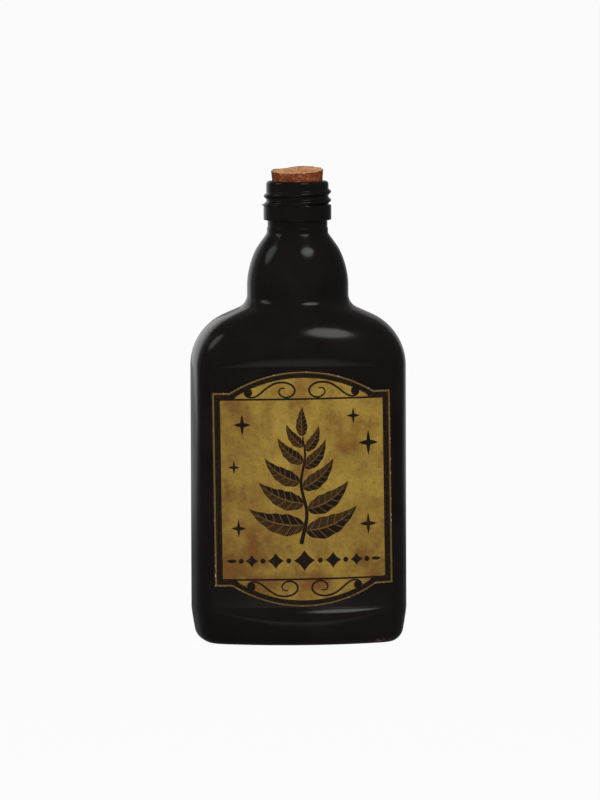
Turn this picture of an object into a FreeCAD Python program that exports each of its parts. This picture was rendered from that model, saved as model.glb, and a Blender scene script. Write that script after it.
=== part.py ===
"""Oblong glass bottle with a bulbous neck, a paper front label and a tapered cork.

Millimetres, +Z up.  The origin is the middle of the standing face, and the labelled
front looks along -Y.  Three separate pieces: bottle, front_label and cork_stopper.
"""
import FreeCAD, Part
import math
import os

# Body, seen from above: arcs on the four sides joined by round corners
BODY_WIDTH = 86.6
BODY_DEPTH = 64.0
CORNER_RADIUS = 13.0
FRONT_ARC_SHARE = 0.712
SIDE_ARC_ANGLE = 10.0

# Glass
WALL = 3.5
BASE_THICKNESS = 7.0

# Heel: the wall tapers in and turns under onto the standing ring
HEEL_HEIGHT = 13.5
HEEL_TAPER = 1.6
HEEL_CORNER = 5.0
STANDING_RING_WIDTH = 5.0
PUSH_UP_DEPTH = 2.6
PUSH_UP_SLOPE_WIDTH = 5.0

# Shoulder: a convex arc, a straight run and a hollow fillet onto the neck
SIDE_HEIGHT = 110.77
SHOULDER_ROUNDNESS = 0.983
SHOULDER_SIDE_LEAN = 66.0
SHOULDER_FRONT_LEAN = 38.0
NECK_FILLET = 6.0

# Bulb of the neck
BULB_DIAMETER = 40.8
BULB_STRAIGHT = 3.3
BULB_ARC_RADIUS = 30.0
BULB_LEAN = 33.0
BULB_FILLET = 2.0

# Neck and finish
NECK_DIAMETER = 24.6
NECK_STRAIGHT = 1.6
COLLAR_DIAMETER = 24.1
COLLAR_HEIGHT = 3.0
RING_DIAMETER = 27.3
RING_HEIGHT = 6.2
RING_EDGE = 0.6
FINISH_DIAMETER = 25.1
FINISH_HEIGHT = 9.5
LIP_EDGE = 0.7

# Label panels, hollowed into the front and the back
PANEL_RECESS = 3.0
PANEL_BOTTOM = 15.3
PANEL_END_MARGIN = 0.65
PANEL_SIDE_MARGIN = 2.0
LEDGE_RADIUS = 16.0
LEDGE_LEAN = 40.0
LEDGE_RUN_OUT = 5.0

# Front label
LABEL_SIDE_BORDER = 7.7
LABEL_SIDE_HEIGHT = 77.6
LABEL_CORNER_STEP = 6.9
LABEL_ARCH_RISE = 8.3
LABEL_THICKNESS = 0.2
LABEL_TURN = 0.7

# Cork, its top cut slanting down to the front and a little to the left
CORK_TOP_DIAMETER = 21.1
CORK_TAPER = 6.0
CORK_SEAT_DEPTH = 16.0
CORK_HEAD_HEIGHT = 4.2
CORK_SLANT_LEFT = 2.0
CORK_SLANT_FRONT = 5.5
CORK_CLEARANCE = 0.06

# Worked out from the sizes above
HALF_WIDTH = BODY_WIDTH / 2
HALF_DEPTH = BODY_DEPTH / 2
BULB_RADIUS = BULB_DIAMETER / 2
SHOULDER_RADIUS = SHOULDER_ROUNDNESS * (HALF_WIDTH - BULB_RADIUS)
NECK_RADIUS = NECK_DIAMETER / 2
COLLAR_RADIUS = COLLAR_DIAMETER / 2
RING_RADIUS = RING_DIAMETER / 2
FINISH_RADIUS = FINISH_DIAMETER / 2
FRONT_ARC_ANGLE = FRONT_ARC_SHARE * math.degrees(math.atan(BODY_DEPTH / BODY_WIDTH))
LABEL_WIDTH = BODY_WIDTH - 2 * LABEL_SIDE_BORDER
LABEL_ARCH_WIDTH = LABEL_WIDTH - 2 * LABEL_CORNER_STEP
LABEL_HEIGHT = LABEL_SIDE_HEIGHT + 2 * LABEL_ARCH_RISE
PANEL_WIDTH = LABEL_WIDTH + 2 * PANEL_SIDE_MARGIN
PANEL_TOP = PANEL_BOTTOM + LABEL_HEIGHT + 2 * PANEL_END_MARGIN
LABEL_CENTRE = (PANEL_BOTTOM + PANEL_TOP) / 2
SECTIONS_PER_ARC = 3
HEEL_BANDS = 4
ANGLES = [0, FRONT_ARC_ANGLE, 90 - SIDE_ARC_ANGLE, 90]


def sine(degrees):
    return math.sin(math.radians(degrees))


def cosine(degrees):
    return math.cos(math.radians(degrees))


def point(x, y, z=0.0):
    return FreeCAD.Vector(x, y, z)


def arc(start, middle, end):
    return Part.Arc(start, middle, end).toShape()


def line(start, end):
    return Part.LineSegment(start, end).toShape()


class Meridian:
    """Upright outline of a bottle shoulder, from a straight wall to a narrower neck.

    The wall runs up to `start`, an arc of `radius` leans it in to `lean` degrees, a
    straight run follows, and a hollow fillet turns it upright again at the neck.
    An inset moves the whole outline square to itself, as a glass wall does.
    """

    def __init__(self, wall, start, radius, lean, neck, fillet):
        self.arc_centre = wall - radius
        self.radius = radius
        self.lean = lean
        self.start = start
        self.fillet = fillet
        self.fillet_centre = neck + fillet
        reach = (self.fillet_centre - self.arc_centre) * cosine(lean)
        self.end = start + (radius + fillet - reach) / sine(lean)

    def lifted_to(self, end):
        """Move the outline up or down so that it meets the neck at this height."""
        self.start += end - self.end
        self.end = end
        return self

    def half_size(self, height, inset=0.0):
        radius = self.radius - inset
        fillet = self.fillet + inset
        if height <= self.start:
            return self.arc_centre + radius
        arc_top = self.start + radius * sine(self.lean)
        if height <= arc_top:
            return self.arc_centre + math.sqrt(radius ** 2 - (height - self.start) ** 2)
        if height <= self.end - fillet * sine(self.lean):
            arc_top_size = self.arc_centre + radius * cosine(self.lean)
            return arc_top_size - (height - arc_top) * sine(self.lean) / cosine(self.lean)
        if height >= self.end:
            return self.fillet_centre - fillet
        return self.fillet_centre - math.sqrt(fillet ** 2 - (self.end - height) ** 2)

    def heights(self):
        """Heights of evenly spaced turns on the lower arc, and on the fillet above it."""
        turns = [self.lean * step / SECTIONS_PER_ARC for step in range(SECTIONS_PER_ARC + 1)]
        lower = [self.start + self.radius * sine(turn) for turn in turns]
        upper = [self.end - self.fillet * sine(turn) for turn in reversed(turns)]
        return lower, upper


def oblong(half_width, half_depth, corner, height):
    """Closed outline of eight tangent arcs: broad front, round corner, short side."""
    front, side = FRONT_ARC_ANGLE, 90 - SIDE_ARC_ANGLE
    corner_x = corner * (sine(side) - sine(front))
    corner_y = corner * (cosine(front) - cosine(side))
    # The front and side radii are the pair that gives the wanted width and depth
    a, b, c = sine(front), 1 - sine(side), half_width - corner_x
    d, e, f = 1 - cosine(front), cosine(side), half_depth - corner_y
    front_radius = (c * e - b * f) / (a * e - b * d)
    side_radius = (a * f - c * d) / (a * e - b * d)
    radii = [front_radius, corner, side_radius]

    def place(angle):
        """Point whose surface normal is turned this far from the front, by symmetry."""
        turned_by = math.degrees(math.asin(abs(sine(angle))))
        x, y = 0.0, -half_depth
        for radius, low, high in zip(radii, ANGLES[:-1], ANGLES[1:]):
            turn = min(max(turned_by, low), high)
            x += radius * (sine(turn) - sine(low))
            y += radius * (cosine(low) - cosine(turn))
        return math.copysign(x, sine(angle)), math.copysign(y, -cosine(angle))

    def span(low, high):
        turns = (low, (low + high) / 2, high)
        return arc(*[point(*place(turn), height) for turn in turns])

    # Angles of the surface normal, all the way round from the middle of the front
    bounds = [-front, front, side, 180 - side, 180 - front, 180 + front, 180 + side, 360 - side, 360 - front]
    edges = [span(low, high) for low, high in zip(bounds[:-1], bounds[1:])]
    return Part.Wire(edges)


def front_radius_of_body():
    """Radius of the broad front arc, from the same width, depth and corner as the body."""
    return oblong(HALF_WIDTH, HALF_DEPTH, CORNER_RADIUS, 0).Edges[0].Curve.Radius


def inset_oblong(inset, height):
    """The body's outline drawn in evenly all round."""
    return oblong(HALF_WIDTH - inset, HALF_DEPTH - inset, CORNER_RADIUS - inset, height)


def shoulder_sections(side, front, inset, levels):
    """Outlines between the oblong body and the round neck, along a side and a front outline."""
    widest, neck = side.half_size(side.start, inset), side.half_size(side.end, inset)
    corner = CORNER_RADIUS - inset
    wires = []
    for level in levels:
        width = side.half_size(level, inset)
        share = (widest - width) / (widest - neck)
        wires.append(oblong(width, front.half_size(level, inset), corner + (neck - corner) * share, level))
    return wires


def shoulder_outside(side, front, foot):
    """A smooth loft for the domed shoulder, and the hollow fillet that leads into the neck."""
    dome, hollow = side.heights()
    lower = shoulder_sections(side, front, 0.0, [foot] + dome[1:] + hollow[:1])
    upper = shoulder_sections(side, front, 0.0, hollow)
    return Part.makeLoft(lower, True, False).fuse(Part.makeLoft(upper, True, True))


def heel_turn(turn):
    """How far a round heel has drawn in, and its height, after this turn from the base."""
    return HEEL_CORNER * (1 - sine(turn)), HEEL_CORNER * (1 - cosine(turn))


def turned(edges):
    return Part.Face(Part.Wire(edges)).revolve(point(0, 0), point(0, 0, 1), 360)


def polyline(points):
    return [line(start, end) for start, end in zip(points[:-1], points[1:])]


def profile(pairs):
    """Straight outline through pairs of radius and height."""
    return polyline([point(radius, 0, height) for radius, height in pairs])


def cork_radius(below_top):
    """Radius of the tapered cork at a distance below the middle of its top."""
    return CORK_TOP_DIAMETER / 2 - below_top * sine(CORK_TAPER) / cosine(CORK_TAPER)


def bulb_outline(bottom):
    return Meridian(BULB_RADIUS, bottom + BULB_STRAIGHT, BULB_ARC_RADIUS, BULB_LEAN, NECK_RADIUS, BULB_FILLET)


def neck_outside(bottom):
    """Turned outside of the neck: bulb, collar, ring and plain finish wall."""
    bulb = bulb_outline(bottom)
    collar = bulb.end + NECK_STRAIGHT
    ring = collar + COLLAR_HEIGHT
    ring_top = ring + RING_HEIGHT
    lip = ring_top + FINISH_HEIGHT

    def on_arc(lean):
        return point(bulb.arc_centre + bulb.radius * cosine(lean), 0, bulb.start + bulb.radius * sine(lean))

    def on_fillet(lean):
        return point(bulb.fillet_centre - bulb.fillet * cosine(lean), 0, bulb.end - bulb.fillet * sine(lean))

    edges = profile([(0, bottom), (BULB_RADIUS, bottom), (BULB_RADIUS, bulb.start)])
    edges += [arc(on_arc(0), on_arc(BULB_LEAN / 2), on_arc(BULB_LEAN)),
              line(on_arc(BULB_LEAN), on_fillet(BULB_LEAN)),
              arc(on_fillet(BULB_LEAN), on_fillet(BULB_LEAN / 2), on_fillet(0))]
    edges += profile([
        (NECK_RADIUS, bulb.end), (NECK_RADIUS, collar), (COLLAR_RADIUS, collar), (COLLAR_RADIUS, ring),
        (RING_RADIUS - RING_EDGE, ring), (RING_RADIUS, ring + RING_EDGE),
        (RING_RADIUS, ring_top - RING_EDGE), (RING_RADIUS - RING_EDGE, ring_top),
        (FINISH_RADIUS, ring_top), (FINISH_RADIUS, lip - LIP_EDGE), (FINISH_RADIUS - LIP_EDGE, lip),
        (0, lip), (0, bottom)])
    return turned(edges), lip


def neck_inside(bottom, lip):
    """Turned inside of the neck: bulb, plain bore and the tapered mouth for the cork."""
    bulb = bulb_outline(bottom)
    radius = bulb.radius - WALL
    arc_spots = [(bulb.arc_centre + radius * cosine(lean), bulb.start + radius * sine(lean))
                 for lean in (0, BULB_LEAN / 2, BULB_LEAN)]
    bore = cork_radius(CORK_HEAD_HEIGHT + CORK_SEAT_DEPTH) + CORK_CLEARANCE
    mouth = cork_radius(CORK_HEAD_HEIGHT) + CORK_CLEARANCE
    narrowing = (arc_spots[-1][0] - bore) * cosine(BULB_LEAN) / sine(BULB_LEAN)
    return turned(profile([
        (0, bottom), (BULB_RADIUS - WALL, bottom), *arc_spots, (bore, arc_spots[-1][1] + narrowing),
        (bore, lip - CORK_SEAT_DEPTH), (mouth, lip), (0, lip), (0, bottom)]))


def panel_radius():
    """Radius of the label panel: its edges meet the broad front arc of the body."""
    body_radius = front_radius_of_body()
    half = PANEL_WIDTH / 2
    drop = body_radius - math.sqrt(body_radius ** 2 - half ** 2) - PANEL_RECESS
    return (half ** 2 + drop ** 2) / (2 * drop)


def panel_axis():
    """Distance behind the middle of the bottle of the panel's own axis."""
    return panel_radius() - (HALF_DEPTH - PANEL_RECESS)


def panel_cutter():
    """Turned about the panel's axis: flat in its middle, with a soft ledge at each end."""
    radius = panel_radius()
    outer = radius + 3 * PANEL_RECESS

    def ledge(height, upward):
        spots = []
        for lean in (LEDGE_LEAN, (LEDGE_LEAN + LEDGE_RUN_OUT) / 2, LEDGE_RUN_OUT):
            rise = LEDGE_RADIUS * (sine(LEDGE_LEAN) - sine(lean))
            step = LEDGE_RADIUS * (cosine(lean) - cosine(LEDGE_LEAN))
            spots.append(point(0, -radius - step, height + upward * rise))
        return spots

    top = ledge(PANEL_TOP, 1)
    bottom = ledge(PANEL_BOTTOM, -1)
    corners = [top[-1], point(0, -outer, top[-1].z), point(0, -outer, bottom[-1].z), bottom[-1]]
    edges = [line(bottom[0], top[0]), arc(*top), *polyline(corners), arc(*reversed(bottom))]
    face = Part.Face(Part.Wire(edges))
    reach = math.degrees(math.asin(PANEL_WIDTH / 2 / radius)) + SIDE_ARC_ANGLE / 2
    face.rotate(point(0, 0), point(0, 0, 1), -reach)
    cutter = face.revolve(point(0, 0), point(0, 0, 1), 2 * reach)
    cutter.translate(point(0, panel_axis(), 0))
    return cutter


def push_up():
    """Shallow hollow under the base, inside the standing ring."""
    ring = HEEL_TAPER + HEEL_CORNER + STANDING_RING_WIDTH
    sizes = [HALF_WIDTH - ring, HALF_DEPTH - ring, CORNER_RADIUS * (1 - ring / HALF_DEPTH)]
    wires = []
    for inset, height in ((0, 0), (PUSH_UP_SLOPE_WIDTH, PUSH_UP_DEPTH)):
        wires.append(oblong(*[size - inset for size in sizes], height))
    return Part.makeLoft(wires, True, True)


def heel_outside():
    """Lowest band of the body: it tapers in and turns under onto the standing ring."""
    wires = []
    for step in range(HEEL_BANDS + 1):
        inset, height = heel_turn(90 * step / HEEL_BANDS)
        wires.append(inset_oblong(HEEL_TAPER + inset, height))
    wires.append(inset_oblong(0, HEEL_HEIGHT))
    return Part.makeLoft(wires, True, True)


def cavity(side, front, lip):
    """The hollow inside, a wall's thickness from the outside and closed only at the base."""
    width, depth, corner = HALF_WIDTH - WALL, front.half_size(0, WALL), CORNER_RADIUS - WALL
    wires = []
    for turn in (0, 45, 90):
        inset, height = heel_turn(turn)
        wires.append(oblong(width - inset, depth - inset, corner - inset, BASE_THICKNESS + height))
    dome, hollow = side.heights()
    wires += shoulder_sections(side, front, WALL, dome[::2] + hollow[1:])
    return Part.makeLoft(wires, True, True).fuse(neck_inside(side.end, lip))


def shoulder_outlines(half_depth):
    """Side and front outlines of the shoulder, which meet the neck at one height."""
    shape = (SIDE_HEIGHT, SHOULDER_RADIUS)
    neck = (BULB_RADIUS, NECK_FILLET)
    side = Meridian(HALF_WIDTH, *shape, SHOULDER_SIDE_LEAN, *neck)
    front = Meridian(half_depth, *shape, SHOULDER_FRONT_LEAN, *neck).lifted_to(side.end)
    return side, front


def build_bottle():
    """One blown glass shell: heel, body with two label panels, shoulder, neck, finish."""
    side, front = shoulder_outlines(HALF_DEPTH)
    foot = min(side.start, front.start)
    wall = Part.Face(inset_oblong(0, HEEL_HEIGHT)).extrude(point(0, 0, foot - HEEL_HEIGHT))
    neck, lip = neck_outside(side.end)
    outside = heel_outside().fuse([wall, shoulder_outside(side, front, foot), neck]).removeSplitter()
    cutter = panel_cutter()
    back_cutter = cutter.copy()
    back_cutter.rotate(point(0, 0), point(0, 0, 1), 180)
    hollow = cavity(*shoulder_outlines(HALF_DEPTH - PANEL_RECESS), lip)
    return outside.cut([cutter, back_cutter, push_up(), hollow]), lip


def build_front_label():
    """Paper label with an arched top and bottom, bent to the panel that it is glued to."""
    half_width, half_side = LABEL_WIDTH / 2, LABEL_SIDE_HEIGHT / 2
    half_arch, apex = LABEL_ARCH_WIDTH / 2, LABEL_HEIGHT / 2

    def at(x, z):
        return point(x, 0, z)

    top = polyline([at(half_width, half_side), at(half_arch, half_side)])
    top += [arc(at(half_arch, half_side), at(0, apex), at(-half_arch, half_side))]
    top += polyline([at(-half_arch, half_side), at(-half_width, half_side), at(-half_width, -half_side),
                     at(-half_arch, -half_side)])
    bottom = [arc(at(-half_arch, -half_side), at(0, -apex), at(half_arch, -half_side))]
    bottom += polyline([at(half_arch, -half_side), at(half_width, -half_side), at(half_width, half_side)])
    outline = Part.Face(Part.Wire(top + bottom))
    outline.rotate(point(0, 0), point(0, 1, 0), -LABEL_TURN)
    outline.translate(point(0, 0, LABEL_CENTRE))
    prism = outline.extrude(point(0, -HALF_DEPTH, 0))

    radius = panel_radius()
    height = PANEL_TOP - PANEL_BOTTOM
    base = point(0, panel_axis(), PANEL_BOTTOM)
    sheet = Part.makeCylinder(radius + LABEL_THICKNESS, height, base)
    sheet = sheet.cut(Part.makeCylinder(radius, height, base))
    return sheet.common(prism)


def build_cork_stopper(lip):
    """Tapered cork seated in the mouth, its top cut a little slanted."""
    reach = CORK_TOP_DIAMETER
    foot = lip - CORK_SEAT_DEPTH
    length = CORK_SEAT_DEPTH + 2 * CORK_HEAD_HEIGHT
    cone = Part.makeCone(cork_radius(CORK_HEAD_HEIGHT + CORK_SEAT_DEPTH), cork_radius(-CORK_HEAD_HEIGHT),
                         length, point(0, 0, foot))
    above = Part.makeBox(2 * reach, 2 * reach, reach, point(-reach, -reach, 0))
    above.rotate(point(0, 0), point(0, 1, 0), -CORK_SLANT_LEFT)
    above.rotate(point(0, 0), point(1, 0, 0), CORK_SLANT_FRONT)
    above.translate(point(0, 0, lip + CORK_HEAD_HEIGHT))
    return cone.cut(above)


def main():
    os.makedirs("parts", exist_ok=True)
    bottle, lip = build_bottle()
    pieces = {
        "bottle": bottle,
        "front_label": build_front_label(),
        "cork_stopper": build_cork_stopper(lip),
    }
    for name, shape in pieces.items():
        box = shape.BoundBox
        print(name, "valid", shape.isValid(), "solids", len(shape.Solids),
              "volume %.0f" % shape.Volume, "z %.2f to %.2f" % (box.ZMin, box.ZMax))
        shape.exportStep("parts/%s.step" % name)


main()
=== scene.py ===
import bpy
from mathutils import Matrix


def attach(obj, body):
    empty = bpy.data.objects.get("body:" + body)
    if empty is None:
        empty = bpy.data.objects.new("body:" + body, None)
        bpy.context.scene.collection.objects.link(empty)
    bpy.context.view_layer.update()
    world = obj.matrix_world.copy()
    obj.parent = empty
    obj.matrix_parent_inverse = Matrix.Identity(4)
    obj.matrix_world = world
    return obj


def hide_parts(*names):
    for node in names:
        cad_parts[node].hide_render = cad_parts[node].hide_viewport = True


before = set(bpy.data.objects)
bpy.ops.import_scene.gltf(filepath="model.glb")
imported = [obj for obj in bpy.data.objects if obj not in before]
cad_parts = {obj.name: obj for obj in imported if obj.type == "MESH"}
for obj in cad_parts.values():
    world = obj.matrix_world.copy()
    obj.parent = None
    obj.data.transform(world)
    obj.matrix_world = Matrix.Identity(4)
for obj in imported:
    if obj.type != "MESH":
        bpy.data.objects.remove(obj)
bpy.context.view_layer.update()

# A corked bottle: smooth black glass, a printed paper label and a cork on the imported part.
# Lengths are metres in the part's frame, with +Z up and the labelled front towards -Y.

import math

import bpy
import numpy as np
from bpy.props import FloatProperty, FloatVectorProperty, PointerProperty
from mathutils import Quaternion, Vector

bl_info = {
    "name": "Corked bottle",
    "version": (1, 0, 0),
    "blender": (4, 5, 0),
    "location": "View3D > Sidebar > Bottle",
    "description": "Builds a labelled glass bottle with a cork on its packed part",
    "category": "Object",
}

MM = 0.001
QUARTER_TURN, HALF_TURN, FULL_TURN = math.pi / 2, math.pi, 2 * math.pi


# Settings

def length(name, description, millimetres):
    """Length property whose default is given in millimetres."""
    return FloatProperty(name=name, description=description, default=millimetres * MM, min=0.0,
                         unit="LENGTH", precision=5)


def angle(name, description, degrees):
    """Angle property whose default is given in degrees."""
    return FloatProperty(name=name, description=description, default=math.radians(degrees),
                         subtype="ANGLE")


def share(name, description, value):
    """Property for a plain factor."""
    return FloatProperty(name=name, description=description, default=value, min=0.0,
                         subtype="FACTOR")


def colour(name, description, red, green, blue):
    """Colour property whose default is given as screen values from 0 to 255, by the sRGB curve."""
    screen = np.array([red, green, blue]) / 255
    linear = np.where(screen <= 0.04045, screen / 12.92, ((screen + 0.055) / 1.055) ** 2.4)
    return FloatVectorProperty(name=name, description=description, default=linear.tolist(), size=3,
                               min=0.0, max=1.0, subtype="COLOR")


class ShellSizes(bpy.types.PropertyGroup):
    """Sizes of the glass shell."""
    body_width: length("Body width", "Width across the broad front", 86.6)
    body_depth: length("Body depth", "Depth from front to back", 64.0)
    corner_radius: length("Corner radius", "Radius of the upright corners", 13.0)
    front_angle: angle("Front angle", "Turn of the surface where the front meets the corner", 26.0)
    side_angle: angle("Side angle", "Turn of the surface where the corner meets the side", 80.0)
    wall: length("Wall", "Thickness of the glass", 3.5)
    base: length("Base", "Thickness of the base", 7.0)
    heel_height: length("Heel height", "Height at which the heel starts to draw in", 13.5)
    heel_taper: length("Heel taper", "How far the heel draws in before it turns under", 2.2)
    heel_corner: length("Heel corner", "Radius of the turn under the heel", 4.4)
    standing_ring: length("Standing ring", "Width of the ring that the bottle stands on", 5.0)
    push_up: length("Push-up", "Depth of the hollow under the base", 2.6)
    push_up_slope: length("Push-up slope", "Width of the slope round the hollow", 5.0)
    side_height: length("Side height", "Height at which the sides start to lean in", 110.77)
    shoulder_radius: length("Shoulder radius", "Radius of the shoulder's dome", 22.5)
    side_lean: angle("Side lean", "Lean of the shoulder seen from the front", 66.0)
    front_lean: angle("Front lean", "Lean of the shoulder seen from the side", 38.0)
    neck_fillet: length("Neck fillet", "Radius of the hollow at the foot of the neck", 6.0)
    bulb_radius: length("Bulb radius", "Radius of the bulb of the neck", 20.4)
    bulb_straight: length("Bulb straight", "Height of the upright foot of the bulb", 3.3)
    bulb_arc: length("Bulb arc", "Radius of the bulb's upright curve", 30.0)
    bulb_lean: angle("Bulb lean", "Lean of the bulb at its top", 33.0)
    bulb_fillet: length("Bulb fillet", "Radius of the hollow above the bulb", 2.0)
    bulb_swell: length("Bulb swell", "How far the blown bulb swells out under the neck", 0.3)
    neck_radius: length("Neck radius", "Radius of the plain neck", 12.3)
    neck_straight: length("Neck straight", "Height of the plain neck", 1.6)
    collar_radius: length("Collar radius", "Radius of the groove under the ring", 12.05)
    collar_height: length("Collar height", "Height of the groove under the ring", 3.0)
    ring_radius: length("Ring radius", "Radius of the plain ring", 13.65)
    ring_height: length("Ring height", "Height of the plain ring", 6.2)
    finish_radius: length("Finish radius", "Radius of the wall between the threads", 12.55)
    finish_height: length("Finish height", "Height of the finish above the ring", 9.5)
    thread_radius: length("Thread radius", "Radius over the thread", 13.6)
    thread_pitch: length("Thread pitch", "Rise of the thread in one turn", 3.4)
    panel_recess: length("Panel recess", "Depth of the label panels", 3.0)
    panel_bottom: length("Panel bottom", "Height of the foot of the label panels", 15.3)
    panel_height: length("Panel height", "Height of the label panels", 95.5)
    panel_width: length("Panel width", "Width of the label panels", 75.2)
    ledge_radius: length("Ledge radius", "Radius of the ledges at the panels' ends", 16.0)
    ledge_lean: angle("Ledge lean", "Lean of the ledges where they meet the panel", 40.0)


class LabelSizes(bpy.types.PropertyGroup):
    """Sizes of the paper label and its print."""
    half_width: length("Half width", "Half of the label's width", 35.6)
    half_side: length("Half side", "Half of the height of the label's straight sides", 38.8)
    half_arch: length("Half arch", "Half of the width of the arched ends", 28.7)
    arch_rise: length("Arch rise", "Height of the arched ends", 8.3)
    centre: length("Centre height", "Height of the label's centre", 63.05)
    thickness: length("Thickness", "Thickness of the paper", 0.2)
    turn: angle("Turn", "How far the label is glued out of true", 0.7)
    gold_line: length("Gold line", "Width of the line round the edge", 0.7)
    band: length("Band", "Distance from the edge to the inside of the dark band", 3.05)
    rule: length("Rule", "Thickness of the rules under the arches", 0.75)
    arch_border: share("Arch border", "Width of the arches' border as a share of the sides'", 0.82)


class CorkSizes(bpy.types.PropertyGroup):
    """Sizes of the cork."""
    top_radius: length("Top radius", "Radius at the middle of the top", 10.55)
    taper: angle("Taper", "Slope of the side", 6.0)
    seat_depth: length("Seat depth", "Length inside the mouth", 16.0)
    head_height: length("Head height", "Height above the lip at the middle", 4.2)
    slant_left: angle("Slant to the left", "Slope of the cut top to the left", 2.0)
    slant_front: angle("Slant to the front", "Slope of the cut top to the front", 5.5)
    clearance: length("Clearance", "Room between cork and glass", 0.06)
    roughness: length("Roughness", "Size of the chips along the top edge", 0.9)


class Looks(bpy.types.PropertyGroup):
    """Colours of the pieces."""
    lacquer: colour("Lacquer", "Black coat on the glass", 20, 16, 15)
    lacquer_worn: colour("Worn lacquer", "Duller places in the coat", 27, 22, 21)
    chip: colour("Chip", "Bare flecks along the heel", 122, 84, 80)
    parchment: colour("Parchment", "Clean paper", 169, 139, 61)
    parchment_dark: colour("Dark parchment", "Stained paper", 113, 82, 40)
    foxing: colour("Foxing", "Brown spots", 128, 72, 32)
    gold: colour("Gold line", "Line round the edge", 110, 92, 50)
    paper_core: colour("Paper core", "Bare paper where the edge is worn", 205, 196, 176)
    ink: colour("Ink", "Printed black", 29, 21, 16)
    ink_faded: colour("Faded ink", "Thin places in the print", 62, 46, 26)
    # Cork colours: the top's is its fresh cut plus painted light, the side's is its own plus
    # painted shade
    cork_top_cut_and_lit: colour("Cork top", "Freshly cut face", 247, 186, 136)
    cork_side_and_shade: colour("Cork side", "Side of the cork", 132, 64, 38)
    cork_pore: colour("Cork pore", "Dark pores", 70, 36, 24)
    floor: colour("Floor", "Floor and backdrop", 215, 215, 215)


class StageSettings(bpy.types.PropertyGroup):
    """View of the camera."""
    azimuth: angle("Azimuth", "Camera's turn round the object", -4.0)
    elevation: angle("Elevation", "Camera's angle above the object's middle", 4.3)
    distance: length("Distance", "Camera's distance", 3000.0)
    view_height: length("View height", "Height on the object at the picture's middle", 96.6)
    view_side: length("View side", "How far the object lies left of the picture's middle", 0.77)
    picture_height: length("Picture height", "Height that the picture covers at the object", 322.4)
    roll: angle("Roll", "Camera's roll", -0.2)


class BottleSettings(bpy.types.PropertyGroup):
    """Everything that a user would change."""
    shell: PointerProperty(type=ShellSizes, name="Shell", description="Sizes of the glass")
    label: PointerProperty(type=LabelSizes, name="Label", description="Sizes of the label")
    cork: PointerProperty(type=CorkSizes, name="Cork", description="Sizes of the cork")
    looks: PointerProperty(type=Looks, name="Looks", description="Colours")
    stage: PointerProperty(type=StageSettings, name="Stage", description="View of the camera")


# Small numeric helpers

def smooth(value):
    """Soft step: 0 below 0, 1 above 1, with level ends."""
    value = np.clip(value, 0, 1)
    return value * value * (3 - 2 * value)


def larger(first, second, soften):
    """Larger of two values, rounded off where they differ by less than soften."""
    part = np.clip(0.5 + (first - second) / (2 * soften), 0, 1)
    return second + (first - second) * part + soften * part * (1 - part)


def spline(knots, count):
    """Smooth path through the knots: a cubic between each two, its slopes from their neighbours."""
    padded = np.concatenate([2 * knots[:1] - knots[1:2], knots, 2 * knots[-1:] - knots[-2:-1]])
    along = np.linspace(0, len(knots) - 1, count)
    index = np.minimum(along.astype(int), len(knots) - 2)
    part = (along - index)[:, None]
    a, b, c, d = (padded[index + k] for k in range(4))
    square, cube = 2 * a - 5 * b + 4 * c - d, 3 * (b - c) + d - a
    return b + part * (c - a + part * (square + part * cube)) / 2


# Sine waves in a ripple, the spread of their wave numbers, and what their sum reaches
WAVES, LEAST_WAVE, MOST_WAVE, WAVE_PEAK = 24, 0.6, 1.6, 1.6


def ripple(points, wavelength, seed):
    """Even roughness between about -1 and 1: sine waves of mixed directions added together."""
    random = np.random.default_rng(seed)
    directions = random.normal(size=(3, WAVES))
    numbers = random.uniform(LEAST_WAVE, MOST_WAVE, WAVES) * FULL_TURN / wavelength
    directions *= numbers / np.linalg.norm(directions, axis=0)
    phases = random.uniform(0, FULL_TURN, WAVES)
    return np.sin(points @ directions + phases).sum(-1) / math.sqrt(WAVES / 2) / WAVE_PEAK


# Meshes

def grid_faces(rows, columns, closed):
    """Four-sided faces of a grid of points, joined round its columns if closed."""
    across = columns if closed else columns - 1
    row, column = np.meshgrid(np.arange(rows - 1), np.arange(across), indexing="ij")
    following = (column + 1) % columns
    corners = [row * columns + column, row * columns + following,
               (row + 1) * columns + following, (row + 1) * columns + column]
    return np.stack(corners, axis=-1).reshape(-1, 4)


def new_piece(name, patches, material, attributes=None):
    """Object from patches, each a grid of points, whether it closes round and whether it is capped.

    Attributes map a name to one array a patch, of numbers or of vectors, on the same grid.
    """
    points, faces, caps, start = [], [], [], 0
    for grid, closed, capped in patches:
        rows, columns = grid.shape[:2]
        points.append(grid.reshape(-1, 3))
        faces.append(grid_faces(rows, columns, closed) + start)
        if capped:
            ring = np.arange(columns) + start
            caps += [ring[::-1], ring + (rows - 1) * columns]
        start += rows * columns
    points, faces = np.concatenate(points), np.concatenate(faces)
    corners = np.concatenate([faces.ravel(), *caps]).astype(np.int32)
    sizes = np.concatenate([np.full(len(faces), 4), [len(cap) for cap in caps]]).astype(np.int32)
    starts = np.concatenate([[0], np.cumsum(sizes)[:-1]]).astype(np.int32)
    mesh = bpy.data.meshes.new(name)
    mesh.vertices.add(len(points))
    mesh.vertices.foreach_set("co", points.astype(np.float32).ravel())
    mesh.loops.add(len(corners))
    mesh.loops.foreach_set("vertex_index", corners)
    mesh.polygons.add(len(sizes))
    mesh.polygons.foreach_set("loop_start", starts)
    mesh.polygons.foreach_set("use_smooth", np.ones(len(sizes), bool))
    for key, arrays in (attributes or {}).items():
        vector = arrays[0].ndim == 3
        values = np.concatenate([array.ravel() for array in arrays]).astype(np.float32)
        made = mesh.attributes.new(key, "FLOAT_VECTOR" if vector else "FLOAT", "POINT")
        made.data.foreach_set("vector" if vector else "value", values)
    mesh.update(calc_edges=True)
    mesh.validate()
    mesh.materials.append(material)
    piece = bpy.data.objects.new(name, mesh)
    bpy.context.scene.collection.objects.link(piece)
    return piece


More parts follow.
